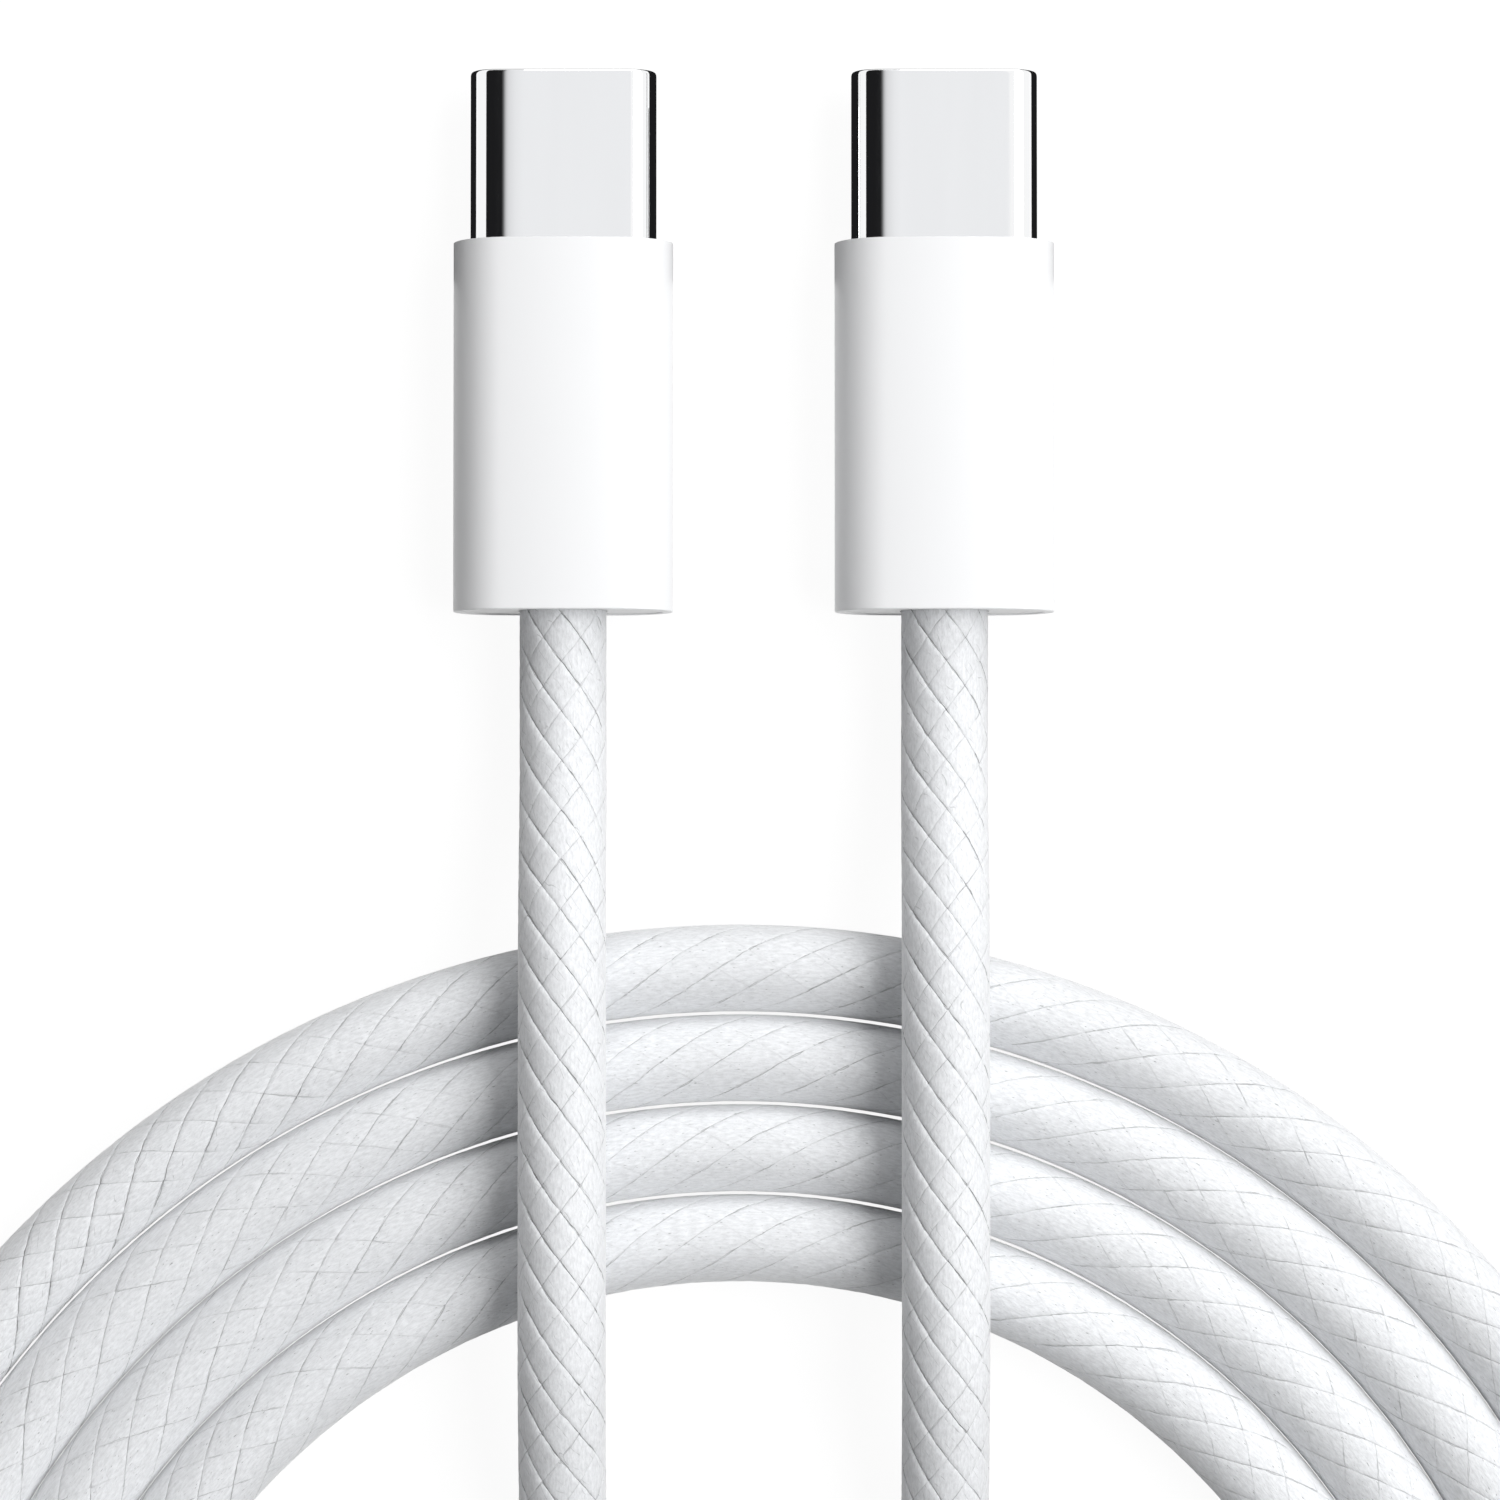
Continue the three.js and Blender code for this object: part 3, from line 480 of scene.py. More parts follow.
def strand(line, places, turned, ends, cord, way, number):
    """Points, lattice coordinates and coiled part of one strand, and which rows are rims of its
    floats. way is 1 for a strand that winds left and -1 for one that winds right. Each row is a
    ring of the upper face's points at ACROSS and one point STRAND_DEPTH under its middle.

    On a float the height is - groove ((1 - 0.4 c) g(u) + (1 - c) g(v) / 2) - bevel (1 - c) b,
    where c is the coiled part, u and v are the distances to the seams of the strands that wind
    left and right, g falls from 1 at a seam to 0, and b is the bevel's part. Between floats it
    is - dip. To either, the coil adds c swell |sin of the angle from the top| towards its sides.
    """
    strands = cord.strands
    first, last = 2 * strands * turned[0], 2 * strands * turned[-1]
    own = number + ACROSS
    over = number if way > 0 else number + 1
    rows, shown, end_distance = strand_rows(own, over, way, first, last)
    cross = np.vstack([own + way * first, np.repeat(rows[:, None], len(own), 1), own + way * last])
    shown, end_distance = (np.concatenate([[0], of, [0]])[:, None] for of in (shown, end_distance))
    rims = (shown[:, 0] > 0) & (end_distance[:, 0] == 0)
    mine = np.broadcast_to(own, cross.shape)
    p, q = (mine, cross) if way > 0 else (cross, mine)
    place = mine - number if way > 0 else (cross - over + 1) % 2 - 1
    side = 0.5 - np.abs(ACROSS)[None, :]
    to_left_seam, to_right_seam = (side, end_distance) if way > 0 else (end_distance, side)
    along = np.interp((q - p) / (2 * strands), turned, places)
    returning = along > places[-1] / 2
    coiled = bent(along, ends)

    height = -cord.groove * (1 - (1 - COIL_GROOVE) * coiled) * fall(to_left_seam)
    height = height - RIGHT_GROOVE * cord.groove * (1 - coiled) * fall(to_right_seam)
    height = height - cord.bevel * (1 - coiled) * bevelled(p, q, place, returning, strands)
    height = np.where(shown > 0, height, -cord.dip)
    aside = np.abs(np.interp(along, places, line[:, 0]))
    sideways = np.abs(np.sin(math.pi * (p + q) / strands))
    height = height + cord.swell * coiled * sideways * rising(aside, *FILLED_OUT)

    middle = slice(MIDDLE, MIDDLE + 1)
    height = np.hstack([height, height[:, middle] - STRAND_DEPTH])
    p, q, coiled = (np.hstack([of, of[:, middle]]) for of in (p, q, coiled))
    points = lattice_to_cord(p, q, height, line, places, turned, cord)
    return points.reshape(-1, 3), np.stack([p, q], -1).reshape(-1, 2), coiled.ravel(), rims


def sharpen(mesh, columns, rims):
    """Marks as sharp the edges that run along a strand at its two sides, which are its first
    column and its last but one, and those that run across it in the rows that are rims."""
    pairs = np.empty(2 * len(mesh.edges), np.int32)
    mesh.edges.foreach_get("vertices", pairs)
    row, column = np.divmod(pairs.reshape(-1, 2), columns)
    sides = (column[:, 0] == column[:, 1]) & np.isin(column[:, 0], (0, columns - 2))
    across = (row[:, 0] == row[:, 1]) & rims[row[:, 0]]
    mesh.edges.foreach_set("use_edge_sharp", sides | across)


def fall(distance):
    """1 at a seam, falling to 0 at GROOVE_WIDTH from it as (1 - d)^2."""
    return np.clip(1 - distance / GROOVE_WIDTH, 0, 1) ** 2


def oval(straight, radius, crown=0.0, arc=40, flat=8):
    """A round-ended outline: x = straight + radius sin t, z = radius cos t for t from crown to
    pi - crown, then a shallow arc that turns by twice crown to the same end turned half round,
    and that end and its arc. With no crown the shallow arcs are straight."""
    t = np.linspace(crown, math.pi - crown, arc + 1)
    end = np.stack([straight + radius * np.sin(t), radius * np.cos(t)], 1)
    half = end[-1, 0]
    x = np.linspace(half, -half, flat + 1)[1:-1]
    z = np.full_like(x, end[-1, 1])
    if crown:
        big = half / math.sin(crown)
        z = z - (np.sqrt(big**2 - x**2) - big * math.cos(crown))
    side = np.vstack([end, np.stack([x, z], 1)])
    return np.vstack([side, -side])


def crowned(width, height, crown):
    """The straight and radius of an outline of this size whose long sides turn by twice crown:
    height / 2 = radius cos c + (width / 2 - radius + radius sin c) tan(c / 2)."""
    rise = math.tan(crown / 2)
    radius = (height / 2 - width / 2 * rise) / (math.cos(crown) - (1 - math.sin(crown)) * rise)
    return width / 2 - radius, radius


def eased(corners, reach, steps=5):
    """A closed profile with its corners rounded: at each corner, the parabola from a point that
    is reach before it to one that is reach after it, at most 0.49 of the side away. reach is 0
    where a corner stays sharp."""
    rows = []
    count = len(corners)
    for i, (corner, r) in enumerate(zip(corners, reach)):
        here = np.array(corner, float)
        if not r:
            rows.append(here[None])
            continue
        back = np.array(corners[i - 1], float) - here
        on = np.array(corners[(i + 1) % count], float) - here
        start = here + back * min(0.49, r / np.linalg.norm(back))
        end = here + on * min(0.49, r / np.linalg.norm(on))
        t = np.linspace(0, 1, steps + 1)[:, None]
        rows.append((1 - t) ** 2 * start + 2 * t * (1 - t) * here + t**2 * end)
    return np.vstack(rows)


def lofted(profile, centre):
    """Points of a ring-shaped body: one outline for each row (straight, radius, crown, y)."""
    flat = np.stack([oval(straight, radius, crown) for straight, radius, crown, _ in profile])
    y = np.broadcast_to(np.array(profile)[:, 3][:, None], flat.shape[:2])
    points = np.stack([flat[..., 0], y, flat[..., 1]], -1) + np.array(centre)
    return points.reshape(-1, 3)


def ring_faces(rows, columns):
    """Quads of a sheet that closes both ways."""
    faces = grid_faces(rows + 1, columns)
    return faces % (rows * columns)


# Finishes


def node(tree, kind, inputs=None, **settings):
    """A new node in a tree, its inputs set to values or linked to sockets."""
    made = tree.nodes.new(kind)
    for name, value in settings.items():
        setattr(made, name, value)
    for name, value in (inputs or {}).items():
        if isinstance(value, bpy.types.NodeSocket):
            tree.links.new(value, made.inputs[name])
        else:
            made.inputs[name].default_value = value
    return made


def new_finish(name):
    """An empty material and its tree."""
    finish = bpy.data.materials.new(name)
    finish.use_nodes = True
    finish.node_tree.nodes.clear()
    return finish, finish.node_tree


def close_finish(tree, shader):
    """Links the shader to the material's output."""
    output = tree.nodes.new("ShaderNodeOutputMaterial")
    tree.links.new(shader, output.inputs["Surface"])


def coordinates(tree, source, scale=(1, 1, 1)):
    """Object or UV coordinates, scaled each way."""
    return scaled(tree, tree.nodes.new("ShaderNodeTexCoord").outputs[source], scale)


def scaled(tree, place, scale):
    """Coordinates multiplied by a scale each way."""
    return node(tree, "ShaderNodeMapping", {"Vector": place, "Scale": scale}).outputs[0]


def noise(tree, place, scale=1.0, detail=3.0, rough=0.5):
    """Values of a noise field, from 0 to 1."""
    made = node(
        tree,
        "ShaderNodeTexNoise",
        {"Vector": place, "Scale": scale, "Detail": detail, "Roughness": rough},
    )
    return made.outputs[0]


def ramp(tree, value, stops):
    """Colours by value: each stop is a place and a colour."""
    made = node(tree, "ShaderNodeValToRGB", {"Fac": value})
    bar = made.color_ramp
    bar.elements[0].position, bar.elements[1].position = stops[0][0], stops[-1][0]
    for place, _ in stops[1:-1]:
        bar.elements.new(place)
    for element, (_, colour) in zip(bar.elements, stops):
        element.color = (*colour[:3], 1)
    return made.outputs[0]


def ranged(tree, value, low, high, new_low, new_high):
    """The value carried from one range to another, and held inside it."""
    bounds = {"From Min": low, "From Max": high, "To Min": new_low, "To Max": new_high}
    return node(tree, "ShaderNodeMapRange", {"Value": value} | bounds).outputs[0]


def shade(colour, factor):
    """A colour made darker or lighter."""
    return tuple(min(1.0, channel * factor) for channel in colour[:3])


# Where most of a noise field's values lie, and how much broader the grain of a colour is.
NOISE_RANGE = (0.3, 0.7)
BROADER = 12


def grained(
    name,
    colour,
    roughness,
    metallic=0.0,
    grain=3000,
    stretch=(1, 1, 1),
    contrast=0.08,
    bump=0.02,
    depth=0.02 * MM,
    **sockets,
):
    """A finish of one colour with a fine grain in its roughness and height, and a broader one in
    its colour. sockets are further values on the shader."""
    finish, tree = new_finish(name)
    place = coordinates(tree, "Object", stretch)
    fine = noise(tree, place, grain, 4.0)
    broad = noise(tree, place, grain / BROADER, 2.0)
    base = ramp(tree, broad, list(zip(NOISE_RANGE, (shade(colour, 1 - contrast), colour))))
    rough = ranged(tree, fine, *NOISE_RANGE, *roughness)
    height = node(tree, "ShaderNodeBump", {"Height": fine, "Strength": bump, "Distance": depth})
    shader = node(
        tree,
        "ShaderNodeBsdfPrincipled",
        {"Base Color": base, "Roughness": rough, "Metallic": metallic, "Normal": height.outputs[0]}
        | sockets,
    )
    close_finish(tree, shader.outputs[0])
    return finish


def joined(tree, operation, *values):
    """The values joined one after another by a Math node's operation."""
    total = values[0]
    for value in values[1:]:
        total = node(tree, "ShaderNodeMath", {0: total, 1: value}, operation=operation).outputs[0]
    return total


def unsigned(tree, value):
    """The value without its sign."""
    return node(tree, "ShaderNodeMath", {0: value}, operation="ABSOLUTE").outputs[0]


def near_half(tree, value, width):
    """1 where the value's fraction is a half, falling to 0 at width from it."""
    part = node(tree, "ShaderNodeMath", {0: value}, operation="FRACT").outputs[0]
    return ranged(tree, unsigned(tree, joined(tree, "SUBTRACT", part, 0.5)), 0, width, 1, 0)


def between(tree, on_leads, on_coil, coiled):
    """One value on the straight leads and another where the cord is coiled."""
    return ranged(tree, coiled, 0, 1, on_leads, on_coil)


# The yarn's pattern. Its seam lines are painted shade in the grooves between the strands. Widths
# and the sway are in crossings of the braid. Scales are waves to a crossing, but to a metre in the
# scale of the breaks in the seam lines. A range is the noise that is carried to 0 and 1. Parts and
# heights are those on the leads and those in the coil, and RIGHT_SEAM_IN_COIL is the part up to
# the first of COIL_SIDES from the coil's middle and from the second on, fainter in the middle,
# where the lamp shades those seams less.
# YARN_DARK is the colour of the painted seam shade, and of the loose fibres and specks.
YARN_DARK = (0.02, 0.02, 0.022, 1)
LEFT_SEAM_WIDTH = 0.02
LEFT_SEAM_PARTS = (1.0, 0.65)
RIGHT_SEAM_WIDTH = 0.016
RIGHT_SEAM_ON_LEADS = 0.5
RIGHT_SEAM_IN_COIL = (0.07, 0.5)
COIL_SIDES = (11 * MM, 20 * MM)
SEAM_SWAY = 0.035
SWAY_SCALE = 1.6
BREAK_SCALE = 700
BREAK_RANGE = (0.38, 0.6)
LEFT_SEAM_UNBROKEN = (0.4, 0.9)
LOOSE_WIDTH = 0.05
LOOSE_PARTS = (0.4, 0.12)
LOOSE_EVERY = 3.7
LOOSE_DRIFT = 4.0
LOOSE_SCALE = (1.1, 0.5, 1)
LOOSE_PATCHES = 2.3
LOOSE_RANGE = (0.5, 0.62)
SPECK_SCALE = (4.5, 12, 1)
SPECK_RANGE = (0.7, 0.75)
SPECK_PARTS = (0.1, 0.5)
FIBRE_SCALE = (9, 0.7, 1)
FIBRE_HEIGHTS = (0.6, 0.5)
FELT_SCALE = (3.4, 7, 1)
FELT_HEIGHTS = (0.4, 1.6)
MOTTLE_RANGE = (0.35, 0.65)
MOTTLE = (0.78, 1.0)
YARN_ROUGHNESS = (0.55, 0.75)
YARN_BUMP = 0.4
YARN_RELIEF = 0.04 * MM


def painted_seam_shade(tree, lattice, p, q, coiled):
    """Painted shade: thin dark lines in the grooves where p or q is a half past a whole number,
    which sway and break off in places. In the coil those of the strands that wind right are faint
    in the middle of x and stronger at its sides, painted as the lamp shades those seams."""
    solid = coordinates(tree, "Object")
    sway = noise(tree, lattice, SWAY_SCALE, 4.0)
    sway = ranged(tree, sway, *NOISE_RANGE, -SEAM_SWAY, SEAM_SWAY)
    unbroken = ranged(tree, noise(tree, solid, BREAK_SCALE, 3.0), *BREAK_RANGE, 0, 1)
    left = near_half(tree, joined(tree, "ADD", p, sway), LEFT_SEAM_WIDTH)
    left_unbroken = ranged(tree, unbroken, 0, 1, *LEFT_SEAM_UNBROKEN)
    left_part = between(tree, *LEFT_SEAM_PARTS, coiled)
    x = node(tree, "ShaderNodeSeparateXYZ", {0: solid}).outputs[0]
    in_coil = ranged(tree, unsigned(tree, x), *COIL_SIDES, *RIGHT_SEAM_IN_COIL)
    right = near_half(tree, joined(tree, "SUBTRACT", q, sway), RIGHT_SEAM_WIDTH)
    right_part = between(tree, RIGHT_SEAM_ON_LEADS, in_coil, coiled)
    # The painted seam shade of the strands that wind each way.
    return joined(
        tree,
        "MAXIMUM",
        joined(tree, "MULTIPLY", left, left_unbroken, left_part),
        joined(tree, "MULTIPLY", right, unbroken, right_part),
    )


def loose_fibres(tree, lattice, p, coiled):
    """Thin lines that drift along the strands that wind left, in patches."""
    drift = noise(tree, coordinates(tree, "UV", LOOSE_SCALE), 1.0, 2.0)
    drift = joined(tree, "MULTIPLY", drift, LOOSE_DRIFT)
    lines = joined(tree, "ADD", joined(tree, "MULTIPLY", p, LOOSE_EVERY), drift)
    patches = ranged(tree, noise(tree, lattice, LOOSE_PATCHES, 1.0), *LOOSE_RANGE, 0, 1)
    part = between(tree, *LOOSE_PARTS, coiled)
    return joined(tree, "MULTIPLY", near_half(tree, lines, LOOSE_WIDTH), patches, part)


def yarn_finish(colour):
    """White yarn. Its marks follow the lattice (p, q) of the braid: thin dark lines of painted
    shade in the seams between the strands, fine fibres along the strands, and a few loose dark
    ones. Felt and short specks run along the cord, q - p. Felt makes the yarn mottled and, where
    the cord is coiled, uneven."""
    finish, tree = new_finish("white yarn")
    coiled = node(tree, "ShaderNodeAttribute", attribute_name="Coiled").outputs["Fac"]
    lattice = coordinates(tree, "UV")
    p, q, _ = node(tree, "ShaderNodeSeparateXYZ", {0: lattice}).outputs
    along, around = joined(tree, "SUBTRACT", q, p), joined(tree, "ADD", p, q)
    level = node(tree, "ShaderNodeCombineXYZ", {0: along, 1: around}).outputs[0]
    fibres = noise(tree, coordinates(tree, "UV", FIBRE_SCALE))
    felt = noise(tree, scaled(tree, level, FELT_SCALE), detail=5.0, rough=0.7)
    specks = noise(tree, scaled(tree, level, SPECK_SCALE), detail=1.0)
    specks = ranged(tree, specks, *SPECK_RANGE, 0, 1)
    # dark holds the painted seam shade, together with the loose fibres and the specks.
    dark = joined(
        tree,
        "MAXIMUM",
        painted_seam_shade(tree, lattice, p, q, coiled),
        loose_fibres(tree, lattice, p, coiled),
        joined(tree, "MULTIPLY", specks, between(tree, *SPECK_PARTS, coiled)),
    )
    mottle = ranged(tree, felt, *MOTTLE_RANGE, *MOTTLE)
    light = joined(tree, "MULTIPLY", mottle, ranged(tree, dark, 0, 1, 1, 0))
    base = node(
        tree, "ShaderNodeMix", {0: light, 6: YARN_DARK, 7: (*colour, 1)}, data_type="RGBA"
    ).outputs[2]
    relief = joined(
        tree,
        "ADD",
        joined(tree, "MULTIPLY", fibres, between(tree, *FIBRE_HEIGHTS, coiled)),
        joined(tree, "MULTIPLY", felt, between(tree, *FELT_HEIGHTS, coiled)),
    )
    relief = joined(tree, "SUBTRACT", relief, dark)
    height = node(
        tree,
        "ShaderNodeBump",
        {"Height": relief, "Strength": YARN_BUMP, "Distance": YARN_RELIEF},
    )
    shader = node(
        tree,
        "ShaderNodeBsdfPrincipled",
        {
            "Base Color": base,
            "Roughness": ranged(tree, fibres, *NOISE_RANGE, *YARN_ROUGHNESS),
            "Normal": height.outputs[0],
            "Sheen Weight": 1.0,
            "Sheen Roughness": 0.5,
        },
    )
    close_finish(tree, shader.outputs[0])
    return finish


def give(node_name, finish):
    """Puts one finish on a piece of the frame."""
    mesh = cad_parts[node_name].data
    mesh.materials.clear()
    mesh.materials.append(finish)


# Operators


# The lamps' tilts in degrees from straight up, towards +X and +Y, the point they are aimed at,
# and the low lamp's distance, width and length.
SOFT_LAMP_TILT = (37, 9)
LOW_LAMP_TILT = (15, 66)
LAMP_AIM = (0, -0.03, 0)
LOW_LAMP_DISTANCE = 0.7
LOW_LAMP_SIZE = (0.7, 0.2)
# The light from all round. Then the table: its reach each way, and for the camera the colour
# that takes light and shadows, and its own glow.
WORLD_LIGHT = 0.19
TABLE_REACH = 3.0
TABLE_SHOWN = (0.11, 0.11, 0.11, 1)
TABLE_GLOW = 0.93
# Cards that the steel mirrors: their colours, and their low and high corners and their height.
DARK = (0.012, 0.012, 0.013)
GREY = (0.894, 0.899, 0.912)
GREY_CARD = ((-0.05, -0.3), (0.05, 0.6), 0.45)
LOW_DARK_CARD = ((-0.0285, 0.003), (0.0285, 0.024), 0.0002)
# In millimetres: where each plug's dark card begins and ends, from the left end of the shell's
# flat top, and how far it goes past the shell's tip and hangs above it.
DARK_CARD_SIDES = {"plug_a_": (-1.65, 0.155), "plug_b_": (-2.2, 0.059)}
DARK_CARD_AHEAD = 3
DARK_CARD_ABOVE = 1.0
# How a dark card pales beyond its right side: millimetres, and the part of the grey.
PALING = (
    (0.04, 0.06),
    (0.09, 0.15),
    (0.13, 0.33),
    (0.18, 0.53),
    (0.22, 0.67),
    (0.27, 0.76),
    (0.33, 0.82),
    (0.45, 0.88),
    (0.65, 0.95),
    (0.97, 1.0),
)


def flat_piece(name, low, high, height, finish):
    """A level rectangle of the stage."""
    corners = ((low[0], low[1]), (high[0], low[1]), (high[0], high[1]), (low[0], high[1]))
    mesh = bpy.data.meshes.new(name)
    mesh.from_pydata([(x, y, height) for x, y in corners], [], [(0, 1, 2, 3)])
    mesh.materials.append(finish)
    piece = bpy.data.objects.new(name, mesh)
    bpy.context.scene.collection.objects.link(piece)
    return piece


def stage_card(name, low, high, height, colour, edge=None):
    """A card above or below the cable that only shows in what is polished. edge lists the
    places, in metres beyond its right side, at which it has paled to other colours."""
    finish, tree = new_finish(name)
    shown = (*colour, 1)
    if edge:
        x = node(tree, "ShaderNodeSeparateXYZ", {0: coordinates(tree, "Object")}).outputs[0]
        last = edge[-1][0]
        across = ranged(tree, x, high[0] - last, high[0], 0, 1)
        shown = ramp(tree, across, [(0, colour), *((x / last, pale) for x, pale in edge)])
    close_finish(tree, node(tree, "ShaderNodeEmission", {"Color": shown}).outputs[0])
    card = flat_piece(name, low, high, height, finish)
    for rays in ("camera", "diffuse", "transmission", "shadow"):
        setattr(card, "visible_" + rays, False)


def seen(tree):
    """1 for rays from the camera, from a mirror or through glass, and 0 for the rest."""
    path = tree.nodes.new("ShaderNodeLightPath")
    rays = [path.outputs[f"Is {kind} Ray"] for kind in ("Camera", "Glossy", "Transmission")]
    return joined(tree, "MAXIMUM", *rays)


class CABLE_OT_stage(bpy.types.Operator):
    """Makes the camera, the soft lamp, the cards that the steel mirrors, and the white table"""

    bl_idname = "cable.stage"
    bl_label = "Stage"

    def execute(self, context):
        setting = context.scene.cable_stage
        scene = context.scene
        self.camera(scene, setting)
        size = (setting.lamp_size, setting.lamp_length)
        self.lamp(
            scene, "soft lamp", SOFT_LAMP_TILT, setting.lamp_distance, size, setting.lamp_power
        )
        self.lamp(
            scene, "low lamp", LOW_LAMP_TILT, LOW_LAMP_DISTANCE, LOW_LAMP_SIZE, setting.low_power
        )
        self.world(scene)
        self.table(setting)
        self.cards()
        scene.view_settings.view_transform = "Standard"
        return {"FINISHED"}

    @staticmethod
    def camera(scene, setting):
        """The camera above the cable."""
        lens = bpy.data.cameras.new("camera")
        lens.lens = setting.lens
        lens.sensor_width = 36
        lens.clip_start = 0.01
        camera = bpy.data.objects.new("camera", lens)
        scene.collection.objects.link(camera)
        foot, aim = Vector(setting.camera_foot), Vector(setting.camera_aim)
        camera.location = foot
        camera.rotation_mode = "QUATERNION"
        camera.rotation_quaternion = (aim - foot).to_track_quat("-Z", "Y")
        scene.camera = camera

    @staticmethod
    def lamp(scene, name, tilt, distance, size, power):
        """An oval lamp at a tilt from the middle of the cable, its length along y."""
        bulb = bpy.data.lights.new(name, "AREA")
        bulb.shape = "ELLIPSE"
        bulb.size, bulb.size_y = size
        bulb.energy = power
        lamp = bpy.data.objects.new(name, bulb)
        scene.collection.objects.link(lamp)
        sideways, onwards = (math.tan(math.radians(angle)) for angle in tilt)
        toward = Vector((sideways, onwards, 1)).normalized()
        lengthwise = (Vector((0, 1, 0)) - toward.y * toward).normalized()
        turned = Matrix((lengthwise.cross(toward), lengthwise, toward)).transposed()
        lamp.location = Vector(LAMP_AIM) + toward * distance
        lamp.rotation_mode = "QUATERNION"
        lamp.rotation_quaternion = turned.to_quaternion()

    @staticmethod
    def world(scene):
        """A white room that lights the cable only a little."""
        world = bpy.data.worlds.new("studio")
        world.use_nodes = True
        tree = world.node_tree
        tree.nodes.clear()
        white = (1, 1, 1, 1)
        light = node(tree, "ShaderNodeBackground", {"Color": white, "Strength": WORLD_LIGHT})
        shown = node(tree, "ShaderNodeBackground", {"Color": white, "Strength": 1.0})
        mixed = node(
            tree, "ShaderNodeMixShader", {0: seen(tree), 1: light.outputs[0], 2: shown.outputs[0]}
        )
        output = tree.nodes.new("ShaderNodeOutputWorld")
        tree.links.new(mixed.outputs[0], output.inputs["Surface"])
        scene.world = world

    @staticmethod
    def table(setting):
        """A table that looks white, and gives the cable the light of a grey one."""
        finish, tree = new_finish("white table")
        colour = tuple(setting.table_colour)
        pale = noise(tree, coordinates(tree, "Object"), 40, 2.0)
        grain = ramp(tree, pale, list(zip(NOISE_RANGE, (shade(colour, 0.99), colour))))
        plain = node(tree, "ShaderNodeBsdfDiffuse", {"Color": grain})
        faint = node(tree, "ShaderNodeBsdfDiffuse", {"Color": TABLE_SHOWN})
        glow = node(tree, "ShaderNodeEmission", {"Color": (1, 1, 1, 1), "Strength": TABLE_GLOW})
        bright = node(tree, "ShaderNodeAddShader", {0: faint.outputs[0], 1: glow.outputs[0]})
        mixed = node(
            tree, "ShaderNodeMixShader", {0: seen(tree), 1: plain.outputs[0], 2: bright.outputs[0]}
        )
        close_finish(tree, mixed.outputs[0])
        flat_piece("table", (-TABLE_REACH, -TABLE_REACH), (TABLE_REACH, TABLE_REACH), 0, finish)

    @staticmethod
    def cards():
        """The cards that the steel mirrors: a grey sky, and the dark bands at its sides."""
        stage_card("grey card", *GREY_CARD, GREY)
        stage_card("low dark card", *LOW_DARK_CARD, DARK)
        paling = [(x * MM, shade(GREY, part)) for x, part in PALING]
        for prefix, (start, end) in DARK_CARD_SIDES.items():
            low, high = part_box(prefix + "shell")
            flat_end = low.x + (high.z - low.z) / 2
            left, right = flat_end + start * MM, flat_end + end * MM + paling[-1][0]
            sleeve_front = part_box(prefix + "boot")[1].y
            stage_card(
                prefix + "dark card",
                (left, sleeve_front),
                (right, high.y + DARK_CARD_AHEAD * MM),
                high.z + DARK_CARD_ABOVE * MM,
                DARK,
                paling,
            )


# The core's sides and how far it lies inside the braid's radius, and the steps along the cord.
CORE_SIDES = 16
CORE_INSET = 0.2 * MM
CORE_STEP = 1.0 * MM
BRAID_STEP = 0.2 * MM


class CABLE_OT_cord(bpy.types.Operator):
    """Makes the cord: its core and the strands braided round it"""

    bl_idname = "cable.cord"
    bl_label = "Braided cord"

    def execute(self, context):
        cord = context.scene.cable_cord
        core_line, core_places = cord_line(CORE_STEP)
        radius = cord.diameter / 2 - CORE_INSET
        core = new_piece(
            "cord_core",
            round_tube(core_line, radius, CORE_SIDES),
            grid_faces(len(core_line), CORE_SIDES),
            grained("cord core", (0.42, 0.42, 0.43), (0.7, 0.9), grain=5000, bump=0.3),
            end_caps(len(core_line), CORE_SIDES),
        )
        yarn = yarn_finish(cord.colour)
        line, places = cord_line(BRAID_STEP)
        ends = coil_ends(line, places)
        turned = turns(line, places, cord, ends) + cord.phase / cord.lay
        columns = len(ACROSS) + 1
        for way, side in ((1, "left"), (-1, "right")):
            for number in range(cord.strands):
                points, uv, coiled, rims = strand(line, places, turned, ends, cord, way, number)
                rows = len(points) // columns
                name = f"cord_strand_{side}_{number + 1}"
                faces, caps = grid_faces(rows, columns), end_caps(rows, columns)
                piece = new_piece(name, points, faces, yarn, caps, uv)
                sharpen(piece.data, columns, rims)
                layer = piece.data.attributes.new("Coiled", "FLOAT", "POINT")
                layer.data.foreach_set("value", coiled.astype(np.float32))
        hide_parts("lead_a", "coil", "lead_b")
        return {"FINISHED"}


class CABLE_OT_shells(bpy.types.Operator):
    """Makes the polished steel shells"""

    bl_idname = "cable.shells"
    bl_label = "Shells"

    def execute(self, context):
        plug = context.scene.cable_plug
        steel = grained(
            "polished steel",
            tuple(plug.steel_colour),
            (0.03, 0.06),
            metallic=1.0,
            grain=9000,
            stretch=(1, 0.08, 1),
            contrast=0.02,
            bump=0.008,
            depth=0.004 * MM,
        )
        for prefix in PLUGS:
            low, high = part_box(prefix + "shell")
            centre = (low + high) / 2
            radius = (high.z - low.z) / 2
            straight = (high.x - low.x) / 2 - radius
            inner = radius - plug.shell_wall
            front, rear = high.y - centre.y, low.y - centre.y
            corners = [(radius, rear), (radius, front), (inner, front), (inner, rear)]
            rim = plug.shell_rim
            rows = eased(corners, [rim, 1.6 * rim, 0.8 * rim, rim], 8)
            profile = [(straight, r, 0.0, y) for r, y in rows]
            points = lofted(profile, centre)
            faces = ring_faces(len(profile), len(points) // len(profile))
            shell = new_piece(prefix + "steel_shell", points, faces, steel)
            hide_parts(prefix + "shell")
        return {"FINISHED"}


